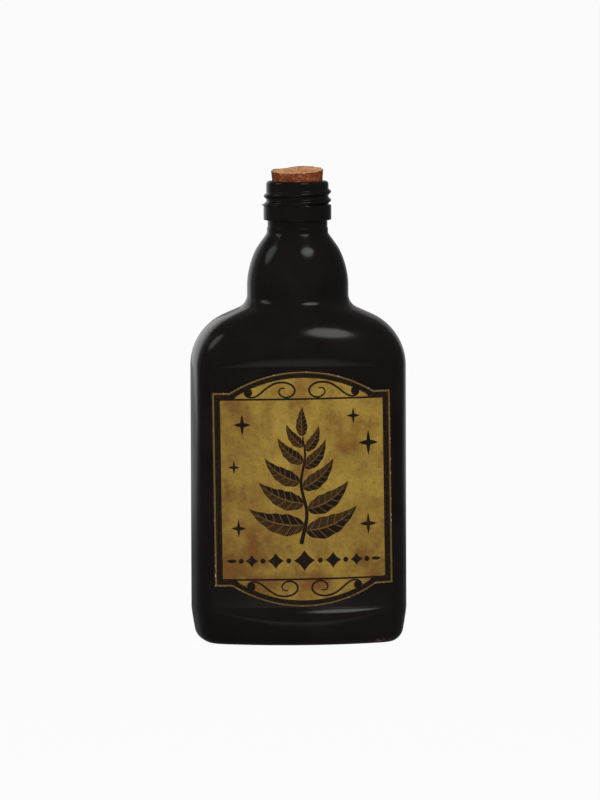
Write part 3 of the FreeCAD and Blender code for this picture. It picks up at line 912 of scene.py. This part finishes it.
# Sockets of the Mix node when it mixes colours
MIX_FACTOR, MIX_FIRST, MIX_SECOND, MIX_RESULT = 0, 6, 7, 2


def plug(tree, socket, value):
    """Link an input to another socket, or set its value."""
    if isinstance(value, bpy.types.NodeSocket):
        tree.links.new(value, socket)
    else:
        socket.default_value = value


def add(tree, kind, inputs=None, **settings):
    """New node with its settings, its inputs set to values or linked to sockets."""
    made = tree.nodes.new(kind)
    for key, value in settings.items():
        setattr(made, key, value)
    for key, value in (inputs or {}).items():
        plug(tree, made.inputs[key], value)
    return made


def maths(tree, operation, *values):
    """Result of a Math node."""
    return add(tree, "ShaderNodeMath", dict(enumerate(values)), operation=operation).outputs[0]


def times(tree, first, second):
    """Product of two values."""
    return maths(tree, "MULTIPLY", first, second)


def scaled(tree, value, factor, offset):
    """A value times a factor, plus an offset."""
    return maths(tree, "MULTIPLY_ADD", value, factor, offset)


def most(tree, first, second):
    """Larger of two values."""
    return maths(tree, "MAXIMUM", first, second)


def fade(tree, value, low, high):
    """Soft mask that rises from 0 at low to 1 at high."""
    inputs = {"Value": value, "From Min": low, "From Max": high}
    return add(tree, "ShaderNodeMapRange", inputs,
               interpolation_type="SMOOTHSTEP").outputs["Result"]


def beyond(tree, value, level, soft):
    """Mask that is 1 where a value has passed a level."""
    return fade(tree, value, level - soft, level + soft)


def short_of(tree, value, level, soft):
    """Mask that is 1 where a value hasn't reached a level."""
    return fade(tree, value, level + soft, level - soft)


def blend(tree, factor, first, second):
    """Colour mix; each colour is a socket or three numbers."""
    made = add(tree, "ShaderNodeMix", {MIX_FACTOR: factor}, data_type="RGBA")
    for index, value in ((MIX_FIRST, first), (MIX_SECOND, second)):
        linked = isinstance(value, bpy.types.NodeSocket)
        plug(tree, made.inputs[index], value if linked else (*value, 1.0))
    return made.outputs[MIX_RESULT]


def attribute(tree, name):
    """Node that reads an attribute of the mesh."""
    return add(tree, "ShaderNodeAttribute", attribute_name=name)


def parts_of(tree, vector):
    """The three numbers of a vector."""
    return add(tree, "ShaderNodeSeparateXYZ", {"Vector": vector}).outputs


def bump(tree, height, distance, strength):
    """Normal bent by a height."""
    inputs = {"Height": height, "Distance": distance, "Strength": strength}
    return add(tree, "ShaderNodeBump", inputs).outputs["Normal"]


# Shared marks: how much finer grain and flecks are than the cloud, the power that makes most
# flecks small, their largest reach and their soft edge
GRAIN_FINER, FLECK_FINER, FLECK_POWER, FLECK_REACH, FLECK_EDGE = 9.0, 5.0, 4.0, 0.42, 0.06


def marks_group():
    """Shared group: a soft cloud, a fine grain and scattered flecks at a chosen scale."""
    name = "Surface marks"
    if name in bpy.data.node_groups:
        return bpy.data.node_groups[name]
    group = bpy.data.node_groups.new(name, "ShaderNodeTree")
    group.interface.new_socket("Place", in_out="INPUT", socket_type="NodeSocketVector")
    group.interface.new_socket("Scale", in_out="INPUT", socket_type="NodeSocketFloat")
    for output in ("Cloud", "Grain", "Fleck"):
        group.interface.new_socket(output, in_out="OUTPUT", socket_type="NodeSocketFloat")
    given, result = add(group, "NodeGroupInput"), add(group, "NodeGroupOutput")
    place, scale = given.outputs["Place"], given.outputs["Scale"]
    cloud = add(group, "ShaderNodeTexNoise",
                {"Vector": place, "Scale": scale, "Detail": 4.0, "Roughness": 0.6})
    grain = add(group, "ShaderNodeTexNoise",
                {"Vector": place, "Scale": times(group, scale, GRAIN_FINER), "Detail": 2.0})
    spots = add(group, "ShaderNodeTexVoronoi",
                {"Vector": place, "Scale": times(group, scale, FLECK_FINER)})
    size = add(group, "ShaderNodeSeparateColor", {"Color": spots.outputs["Color"]}).outputs[0]
    reach = times(group, maths(group, "POWER", size, FLECK_POWER), FLECK_REACH)
    inside = maths(group, "SUBTRACT", reach, spots.outputs["Distance"])
    fleck = fade(group, inside, 0.0, FLECK_EDGE)
    for output, value in (("Cloud", cloud.outputs[0]), ("Grain", grain.outputs[0]),
                          ("Fleck", fleck)):
        group.links.new(value, result.inputs[output])
    return group


def marks(tree, place, scale):
    """Cloud, grain and flecks of the shared group at a scale."""
    return add(tree, "ShaderNodeGroup", {"Place": place, "Scale": scale},
               node_tree=marks_group()).outputs


def new_material(name):
    """Empty material with its tree, its surface shader and its object coordinates."""
    made = bpy.data.materials.new(name)
    made.use_nodes = True
    tree = made.node_tree
    surface = tree.nodes["Principled BSDF"]
    place = add(tree, "ShaderNodeTexCoord").outputs["Object"]
    return made, tree, surface, place


def set_inputs(tree, surface, **values):
    """Set or link inputs of the surface shader, named with underscores for spaces."""
    for key, value in values.items():
        plug(tree, surface.inputs[key.replace("_", " ")], value)


# Lacquer: scales of its marks, and the levels of mark or wear between which it chips and dulls
COAT_SCALES = (45.0, 190.0)
CHIP_LEVELS, WEAR_LEVELS, DULL_LEVELS = (0.57, 0.63), (0.6, 0.95), (0.35, 0.75)
# Its roughness, what grain and chips add to it, and the depth of chips in its orange peel
COAT_ROUGH, GRAIN_ROUGH, CHIP_ROUGH, CHIP_DEPTH = 0.12, 0.06, 0.4, 0.6
# Its gloss, and the height and strength of the peel
COAT_IOR, COAT_SPECULAR, COAT_BUMP = 1.5, 0.2, (0.02 * MM, 0.5)


def lacquer_material(looks):
    """Gloss black coat with slight orange peel, duller clouds and bare flecks along the heel."""
    made, tree, surface, place = new_material("black_lacquer")
    broad, fine = (marks(tree, place, scale) for scale in COAT_SCALES)
    wear = attribute(tree, "wear").outputs["Fac"]
    chips = times(tree, fade(tree, fine["Cloud"], *CHIP_LEVELS), fade(tree, wear, *WEAR_LEVELS))
    dull = fade(tree, broad["Cloud"], *DULL_LEVELS)
    coat = blend(tree, dull, looks.lacquer, looks.lacquer_worn)
    rough = scaled(tree, broad["Grain"], GRAIN_ROUGH, COAT_ROUGH)
    peel = scaled(tree, chips, -CHIP_DEPTH, broad["Grain"])
    set_inputs(tree, surface, Base_Color=blend(tree, chips, coat, looks.chip),
               Roughness=scaled(tree, chips, CHIP_ROUGH, rough), IOR=COAT_IOR,
               Specular_IOR_Level=COAT_SPECULAR, Normal=bump(tree, peel, *COAT_BUMP))
    return made


# Paper: scales of its marks, and the heights and places across between which it darkens
PAPER_SCALES = (60.0, 125.0, 700.0)
LOW_LEVELS, LEFT_LEVELS = (14.0 * MM, -40.0 * MM), (-2.0 * MM, -34.0 * MM)
# Levels of the marks between which stains, mottling, rust and fibres show
STAIN_LEVELS, MOTTLE_LEVELS, FIBRE_LEVELS = (0.42, 0.72), (0.32, 0.72), (0.45, 0.75)
RUST_LEVELS, RUST_BREAKS = (0.53, 0.68), (0.4, 0.6)
# Shares of darkening below, darkening on the left and clouds in the stain, of stain and mottling in
# the tone
LOW_SHARE, LEFT_SHARE, CLOUD_SHARE, STAIN_SHARE, MOTTLE_SHARE = 0.42, 0.4, 0.5, 0.74, 0.46
RUST_SHARE, FLECK_SHARE, FIBRE_SHARE = 0.5, 0.35, 0.3


def aged_paper(tree, looks, spot, broad, middle, fine):
    """Paper colour: stains, darker towards the bottom and the left, mottling, foxing and dark
    fibres.
    """
    cloud, mottle = broad["Cloud"], middle["Cloud"]
    # Darker towards the bottom and towards the left
    low = times(tree, fade(tree, spot["Y"], *LOW_LEVELS), LOW_SHARE)
    low_left_darkening = scaled(tree, fade(tree, spot["X"], *LEFT_LEVELS), LEFT_SHARE, low)
    stain = scaled(tree, fade(tree, cloud, *STAIN_LEVELS), CLOUD_SHARE, low_left_darkening)
    stain = times(tree, stain, STAIN_SHARE)
    tone = scaled(tree, fade(tree, mottle, *MOTTLE_LEVELS), MOTTLE_SHARE, stain)
    paper = blend(tree, tone, looks.parchment, looks.parchment_dark)
    rust = times(tree, fade(tree, cloud, *RUST_LEVELS), fade(tree, mottle, *RUST_BREAKS))
    fibres = fade(tree, fine["Cloud"], *FIBRE_LEVELS)
    paper = blend(tree, times(tree, rust, RUST_SHARE), paper, looks.foxing)
    paper = blend(tree, times(tree, middle["Fleck"], FLECK_SHARE), paper, looks.foxing)
    return blend(tree, times(tree, fibres, FIBRE_SHARE), paper, looks.ink_faded)


# Softness of the edges of the printed band and of the finer lines
BAND_SOFT, LINE_SOFT = 0.07 * MM, 0.06 * MM


def printed_border(tree, label, edge, up):
    """Mask of the dark band along the edge and of the rules under the arches."""
    inside = beyond(tree, edge, label.band, BAND_SOFT)
    height = maths(tree, "ABSOLUTE", up)
    start = label.half_side - label.band
    rule = times(tree, beyond(tree, height, start, LINE_SOFT),
                 short_of(tree, height, start + label.rule, LINE_SOFT))
    return most(tree, maths(tree, "SUBTRACT", 1.0, inside), rule)


# Levels of the marks between which ink thins, the gold line is rubbed off and the edge is bare
THIN_LEVELS, RUBBED_LEVELS, BARE_LEVELS = (0.55, 0.9), (0.35, 0.7), (0.58, 0.7)
# Share of ink lost in flecks, how far scuffs reach in from the edge, and the levels of that reach
LOST_SHARE, SCUFF_REACH, SCUFF_START = 0.5, 0.9 * MM, -0.25 * MM
SCUFF_LEVELS = (-0.05 * MM, 0.12 * MM)
# Roughness and what the marks add to it, gloss and fine relief of the paper
PAPER_ROUGH, FIBRE_ROUGH, PAPER_SPECULAR, PAPER_BUMP = 0.45, 0.2, 0.15, (0.03 * MM, 0.35)


def paper_material(looks, label):
    """Stained parchment with a dark band and a gold line, from the distance to the paper's edge."""
    made, tree, surface, place = new_material("label_paper")
    edge = attribute(tree, "edge").outputs["Fac"]
    spot = parts_of(tree, attribute(tree, "spot").outputs["Vector"])
    broad, middle, fine = (marks(tree, place, scale) for scale in PAPER_SCALES)
    paper = aged_paper(tree, looks, spot, broad, middle, fine)

    printed = printed_border(tree, label, edge, spot["Y"])
    thin = fade(tree, middle["Grain"], *THIN_LEVELS)
    ink = blend(tree, thin, looks.ink, looks.ink_faded)
    lost = times(tree, times(tree, fine["Fleck"], LOST_SHARE), printed)
    sheet = blend(tree, maths(tree, "SUBTRACT", printed, lost), paper, ink)
    rubbed = fade(tree, middle["Cloud"], *RUBBED_LEVELS)
    gold = blend(tree, rubbed, looks.gold, looks.parchment_dark)
    sheet = blend(tree, short_of(tree, edge, label.gold_line, LINE_SOFT), sheet, gold)

    scuff = scaled(tree, broad["Cloud"], SCUFF_REACH, SCUFF_START)
    near = fade(tree, maths(tree, "SUBTRACT", scuff, edge), *SCUFF_LEVELS)
    bare = times(tree, near, fade(tree, middle["Grain"], *BARE_LEVELS))
    set_inputs(tree, surface, Base_Color=blend(tree, bare, sheet, looks.paper_core),
               Roughness=scaled(tree, fine["Cloud"], FIBRE_ROUGH, PAPER_ROUGH),
               Specular_IOR_Level=PAPER_SPECULAR, Normal=bump(tree, fine["Cloud"], *PAPER_BUMP))
    return made


# Ink: scale of its marks, levels between which it fades, its roughness, the grain's and its gloss
INK_SCALE, FADED_LEVELS = 600.0, (0.52, 0.8)
INK_ROUGH, INK_GRAIN_ROUGH, INK_SPECULAR = 0.45, 0.15, 0.15
# Leaves: veins from foot to tip and how far they sweep forward, hatching lines and their slant
VEINS, VEIN_SWEEP, HATCHES, HATCH_SLANT = 7.0, -0.8, 34.0, 3.0
# Edges of the rib, the veins and the hatching, and the side that is hatched
RIB_EDGE, VEIN_EDGE, HATCH_EDGE = (0.12, 0.04), (0.08, 0.03), (0.62, 0.75)
HATCHED_SIDE = (-0.1, 0.35)
# How pale the hatching and all the lines are, and how far a tone may be off to count as veined
HATCH_SHARE, PALE_SHARE, TONE_SLACK = 0.75, 0.8, 0.3


def ink_material(looks):
    """Printed ink: worn black, with pale engraved veins and hatching on leaves."""
    made, tree, surface, place = new_material("label_ink")
    mark = parts_of(tree, attribute(tree, "mark").outputs["Vector"])
    along, across, tone = mark["X"], mark["Y"], mark["Z"]
    fine = marks(tree, place, INK_SCALE)
    wide = maths(tree, "ABSOLUTE", across)
    rib = fade(tree, wide, *RIB_EDGE)
    veins = maths(tree, "FRACT", scaled(tree, along, VEINS, times(tree, wide, VEIN_SWEEP)))
    off_vein = maths(tree, "ABSOLUTE", maths(tree, "SUBTRACT", veins, 0.5))
    vein = fade(tree, off_vein, *VEIN_EDGE)
    hatches = maths(tree, "FRACT", scaled(tree, along, HATCHES, times(tree, across, HATCH_SLANT)))
    hatch = times(tree, fade(tree, hatches, *HATCH_EDGE), fade(tree, across, *HATCHED_SIDE))
    lines = most(tree, most(tree, rib, vein), times(tree, hatch, HATCH_SHARE))
    pale = times(tree, lines, maths(tree, "COMPARE", tone, VEINED, TONE_SLACK))
    ink = blend(tree, fade(tree, fine["Cloud"], *FADED_LEVELS), looks.ink, looks.ink_faded)
    ink = blend(tree, times(tree, pale, PALE_SHARE), ink, looks.parchment_dark)
    set_inputs(tree, surface, Base_Color=ink,
               Roughness=scaled(tree, fine["Grain"], INK_GRAIN_ROUGH, INK_ROUGH),
               Specular_IOR_Level=INK_SPECULAR)
    return made


# Cork: scales of its marks and cells, and the levels between which shade and pale cells show
CORK_SCALES, CELL_SCALE = (190.0, 420.0), 1500.0
SHADE_LEVELS, PALE_CELLS = (0.38, 0.68), (0.6, 0.95)
# Shares of shade, cells, pale cells, fine pores and pores in its colour, and the pores' depth
SHADE_SHARE, CELL_SHARE, PALE_CELL_SHARE = 0.45, 0.22, 0.2
FINE_PORES, PORE_SHARE, PORE_DEPTH = 0.8, 0.75, 0.7
# Its roughness and what the cells add to it, its gloss and its fine relief
CORK_ROUGH, CELL_ROUGH, CORK_SPECULAR, CORK_BUMP = 0.8, 0.1, 0.1, (0.25 * MM, 0.9)


def cork_material(looks):
    """Cork: cells of mixed browns with dark pores; the cut top is pale, partly from its fresh cut
    and partly painted light, and the side is darker, partly painted shade.
    """
    made, tree, surface, place = new_material("cork")
    top = attribute(tree, "top").outputs["Fac"]
    broad, fine = (marks(tree, place, scale) for scale in CORK_SCALES)
    cells = add(tree, "ShaderNodeTexVoronoi", {"Vector": place, "Scale": CELL_SCALE})
    mixed = add(tree, "ShaderNodeSeparateColor", {"Color": cells.outputs["Color"]}).outputs[0]
    shade = times(tree, fade(tree, broad["Cloud"], *SHADE_LEVELS), SHADE_SHARE)
    pale = times(tree, fade(tree, mixed, *PALE_CELLS), PALE_CELL_SHARE)
    pores = most(tree, broad["Fleck"], times(tree, fine["Fleck"], FINE_PORES))
    # Painted light and shade: the top takes a lit colour and the side a shaded one, on top of their
    # own
    body = blend(tree, top, looks.cork_side_and_shade, looks.cork_top_cut_and_lit)
    darker = blend(tree, top, looks.cork_pore, looks.cork_side_and_shade)
    body = blend(tree, scaled(tree, mixed, CELL_SHARE, shade), body, darker)
    body = blend(tree, pale, body, looks.cork_top_cut_and_lit)
    body = blend(tree, times(tree, pores, PORE_SHARE), body, looks.cork_pore)
    height = maths(tree, "SUBTRACT", fine["Cloud"], times(tree, pores, PORE_DEPTH))
    set_inputs(tree, surface, Base_Color=body,
               Roughness=scaled(tree, mixed, CELL_ROUGH, CORK_ROUGH),
               Specular_IOR_Level=CORK_SPECULAR, Normal=bump(tree, height, *CORK_BUMP))
    return made


# Floor: scale, levels and darkest shade of its clouds, and its roughness
FLOOR_SCALE, FLOOR_LEVELS, FLOOR_SHADE, FLOOR_ROUGH = 3.0, (0.3, 0.7), 0.985, 0.9
# Share of white that the camera sees, and the brightness that gloss shows at least
FLOOR_WHITE, FLOOR_GLOSS = 0.95, 0.1
# Painted reflection: the patch glows for gloss alone, though it is no lamp,
# and its fade before the bottle is a painted contact shadow.
# Bright patch for gloss: its fades in depth before the bottle and to the sides, and its strength
PATCH_NEAR, PATCH_FAR, PATCH_SIDE = (-0.045, -0.1), (-0.3, -0.13), (0.14, 0.02)
PATCH_STRENGTH = 0.8
# Backdrop in gloss: its fade in depth and its strength
BACKDROP_FADE, BACKDROP_STRENGTH = (0.3, 0.8), 0.2


def floor_material(looks):
    """Pale floor: white to the camera, a painted reflection glow in front for gloss, clear from
    behind.
    """
    made, tree, surface, place = new_material("stage_floor")
    cloud = fade(tree, marks(tree, place, FLOOR_SCALE)["Cloud"], *FLOOR_LEVELS)
    paint = blend(tree, cloud, looks.floor, [FLOOR_SHADE * part for part in looks.floor])
    set_inputs(tree, surface, Base_Color=paint, Roughness=FLOOR_ROUGH)
    rays = add(tree, "ShaderNodeLightPath").outputs
    spot = parts_of(tree, place)
    aside = maths(tree, "ABSOLUTE", spot["X"])
    # Painted reflection glow, dark next to the bottle as a painted contact shadow
    patch = times(tree, fade(tree, spot["Y"], *PATCH_NEAR), fade(tree, spot["Y"], *PATCH_FAR))
    patch = times(tree, patch, fade(tree, aside, *PATCH_SIDE))
    patch = times(tree, patch, PATCH_STRENGTH)
    far = times(tree, fade(tree, spot["Y"], *BACKDROP_FADE), BACKDROP_STRENGTH)
    shown = scaled(tree, most(tree, patch, far), 1 - FLOOR_GLOSS, FLOOR_GLOSS)
    camera = rays["Is Camera Ray"]
    mirrored = most(tree, rays["Is Glossy Ray"], rays["Is Transmission Ray"])
    seen = most(tree, times(tree, camera, FLOOR_WHITE), mirrored)
    strength = most(tree, times(tree, mirrored, shown), camera)
    glow = add(tree, "ShaderNodeEmission", {"Color": (1, 1, 1, 1), "Strength": strength})
    lit = add(tree, "ShaderNodeMixShader", {0: seen, 1: surface.outputs[0], 2: glow.outputs[0]})
    behind = add(tree, "ShaderNodeNewGeometry").outputs["Backfacing"]
    clear = add(tree, "ShaderNodeBsdfTransparent")
    sided = add(tree, "ShaderNodeMixShader", {0: behind, 1: lit.outputs[0], 2: clear.outputs[0]})
    tree.links.new(sided.outputs[0], tree.nodes["Material Output"].inputs["Surface"])
    return made


# Operators

class AddShell(bpy.types.Operator):
    """Add the glass shell in place of the part's bottle"""
    bl_idname = "corked_bottle.add_shell"
    bl_label = "Add glass shell"

    def execute(self, context):
        settings = context.scene.corked_bottle
        points, wear = shell_points(settings.shell, settings.cork)
        piece = new_piece("glass_shell", [(points, True, True)], lacquer_material(settings.looks),
                          {"wear": [wear]})
        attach(piece, "bottle")
        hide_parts("bottle")
        return {"FINISHED"}


LABEL_COLUMNS, LABEL_ROWS = 145, 189


class AddLabel(bpy.types.Operator):
    """Add the paper label in place of the part's label"""
    bl_idname = "corked_bottle.add_label"
    bl_label = "Add label"

    def execute(self, context):
        settings = context.scene.corked_bottle
        label = settings.label
        sheet = LabelSheet(label, settings.shell)
        across, up = np.linspace(-1, 1, LABEL_COLUMNS), np.linspace(-1, 1, LABEL_ROWS)[:, None]
        a = np.broadcast_to(across * label.half_width, (LABEL_ROWS, LABEL_COLUMNS))
        b = up * (label.half_side + sheet.arch(a))
        edge = sheet.from_edge(a, b)
        # One more row all round drops to the panel, which closes the paper's cut edge
        lift = np.pad(np.full_like(a, label.thickness), 1)
        a, b, edge = (np.pad(array, 1, mode="edge") for array in (a, b, edge))
        spot = np.stack([a, b, np.zeros_like(a)], axis=-1)
        piece = new_piece("paper_label", [(sheet.place(a, b, lift), False, False)],
                          paper_material(settings.looks, label), {"edge": [edge], "spot": [spot]})
        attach(piece, "bottle")
        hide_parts("front_label")
        return {"FINISHED"}


class AddPrint(bpy.types.Operator):
    """Add the printed scrolls, sprig and small marks on the label"""
    bl_idname = "corked_bottle.add_print"
    bl_label = "Add label print"

    def execute(self, context):
        settings = context.scene.corked_bottle
        sheet = LabelSheet(settings.label, settings.shell)
        ink = ink_material(settings.looks)
        for name, draw in (("label_scrolls", scrolls), ("label_sprig", sprig),
                           ("label_marks", small_marks)):
            grids, printed = zip(*draw(sheet))
            piece = new_piece(name, [(grid, False, False) for grid in grids], ink,
                              {"mark": printed})
            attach(piece, "bottle")
        return {"FINISHED"}


class AddCork(bpy.types.Operator):
    """Add the chipped cork in place of the part's stopper"""
    bl_idname = "corked_bottle.add_cork"
    bl_label = "Add cork"

    def execute(self, context):
        settings = context.scene.corked_bottle
        points, top = cork_points(settings.cork, Levels(settings.shell).lip)
        piece = new_piece("cork", [(points, True, True)], cork_material(settings.looks),
                          {"top": [top]})
        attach(piece, "stopper")
        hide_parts("cork_stopper")
        return {"FINISHED"}


# Oval soft boxes: azimuth and elevation in degrees, distance, size, radiance, and seen in gloss
LAMPS = {
    "key": (31, 52, 1.1, (0.5, 0.38), 5.1, True),
    "side": (-92, 38, 1.1, (0.38, 0.52), 1.9, True),
    "rim": (-156, 8, 1.0, (0.7, 0.9), 0.5, True),
    "soft_rim": (-131, 8, 1.0, (0.5, 0.9), 0.16, True),
    "fill": (-8, 18, 1.6, (1.3, 1.3), 4.1, False),
}
LAMP_AIM = 0.1
# Floor: its ends in depth, the radius of the bend behind, the backdrop's top, half its width, and
# how far it lies under the bottle
FLOOR_FRONT, FLOOR_BACK, FLOOR_BEND, BACKDROP_TOP, FLOOR_HALF = -1.0, 0.8, 0.4, 0.7, 0.8
FLOOR_DROP, BEND_ROWS, FLOOR_COLUMNS = 0.05 * MM, 24, 17
# Strength of the world for all rays but the camera's, which see white
SKY = 0.1


def towards(azimuth, elevation):
    """Unit vector from the bottle to a place, by its angles from the front and the level."""
    level = math.cos(elevation)
    return Vector((math.sin(azimuth) * level, -math.cos(azimuth) * level, math.sin(elevation)))


def area_lamp(name, azimuth, elevation, distance, size, radiance, gloss):
    """Soft box aimed at the bottle, its power that of an oval with this radiance."""
    lamp = bpy.data.lights.new(name, "AREA")
    lamp.shape, lamp.size, lamp.size_y = "ELLIPSE", *size
    lamp.energy = radiance * math.pi * size[0] * size[1] * math.pi / 4
    holder = bpy.data.objects.new(name, lamp)
    back = towards(math.radians(azimuth), math.radians(elevation))
    holder.location = Vector((0, 0, LAMP_AIM)) + back * distance
    holder.rotation_euler = (-back).to_track_quat("-Z", "Y").to_euler()
    holder.visible_glossy, holder.visible_camera = gloss, False
    bpy.context.scene.collection.objects.link(holder)


def floor_points():
    """Floor and backdrop: a level run, a quarter bend and an upright run, carried across."""
    turn = np.linspace(0, QUARTER_TURN, BEND_ROWS)
    run = np.concatenate([[FLOOR_FRONT, FLOOR_FRONT / 2, 0.0],
                          FLOOR_BACK + FLOOR_BEND * np.sin(turn), [FLOOR_BACK + FLOOR_BEND]])
    rise = np.concatenate([[0, 0, 0], FLOOR_BEND * (1 - np.cos(turn)), [BACKDROP_TOP]])
    rise = rise - FLOOR_DROP
    across = np.linspace(-FLOOR_HALF, FLOOR_HALF, FLOOR_COLUMNS)
    return np.stack(np.broadcast_arrays(across, run[:, None], rise[:, None]), axis=-1)


class AddStage(bpy.types.Operator):
    """Add the floor with its backdrop, the lamps and the camera"""
    bl_idname = "corked_bottle.add_stage"
    bl_label = "Add stage"

    def execute(self, context):
        settings, scene = context.scene.corked_bottle, context.scene
        floor = new_piece("stage_floor", [(floor_points(), False, False)],
                          floor_material(settings.looks))

        for name, lamp in LAMPS.items():
            area_lamp(name, *lamp)
        scene.world = bpy.data.worlds.new("stage_world")
        scene.world.use_nodes = True
        sky = scene.world.node_tree
        seen = add(sky, "ShaderNodeLightPath").outputs["Is Camera Ray"]
        set_inputs(sky, sky.nodes["Background"], Color=(1, 1, 1, 1),
                   Strength=scaled(sky, seen, 1 - SKY, SKY))

        view = settings.stage
        back = towards(view.azimuth, view.elevation)
        right = Vector((math.cos(view.azimuth), math.sin(view.azimuth), 0))
        middle = Vector((0, 0, view.view_height)) + right * view.view_side
        camera = bpy.data.objects.new("camera", bpy.data.cameras.new("camera"))
        camera.location = middle + back * view.distance
        camera.rotation_mode = "QUATERNION"
        roll = Quaternion((0, 0, 1), view.roll)
        camera.rotation_quaternion = (-back).to_track_quat("-Z", "Y") @ roll
        camera.data.lens = camera.data.sensor_width * view.distance / view.picture_height
        scene.collection.objects.link(camera)
        scene.camera = camera
        scene.view_settings.view_transform = "Standard"
        return {"FINISHED"}


OPERATORS = (AddShell, AddLabel, AddPrint, AddCork, AddStage)


class BottlePanel(bpy.types.Panel):
    """Sidebar panel with the settings and the operators"""
    bl_idname = "VIEW3D_PT_corked_bottle"
    bl_label = "Corked bottle"
    bl_space_type = "VIEW_3D"
    bl_region_type = "UI"
    bl_category = "Bottle"

    def draw(self, context):
        settings = context.scene.corked_bottle
        for name in BottleSettings.__annotations__:
            group = getattr(settings, name)
            box = self.layout.box()
            box.label(text=name.capitalize())
            for key in type(group).__annotations__:
                box.prop(group, key)
        for operator in OPERATORS:
            self.layout.operator(operator.bl_idname)


CLASSES = (ShellSizes, LabelSizes, CorkSizes, Looks, StageSettings, BottleSettings, *OPERATORS,
           BottlePanel)


def register():
    """Register the classes and put the settings on the scene."""
    for made in CLASSES:
        bpy.utils.register_class(made)
    bpy.types.Scene.corked_bottle = PointerProperty(type=BottleSettings, name="Corked bottle",
                                                    description="Settings of the corked bottle")


def unregister():
    """Take the settings off the scene and drop the classes."""
    del bpy.types.Scene.corked_bottle
    for made in reversed(CLASSES):
        bpy.utils.unregister_class(made)


def main():
    """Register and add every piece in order."""
    register()
    for name in ("add_shell", "add_label", "add_print", "add_cork", "add_stage"):
        if getattr(bpy.ops.corked_bottle, name)() != {"FINISHED"}:
            raise RuntimeError("operator %s did not finish" % name)


if __name__ == "__main__":
    main()
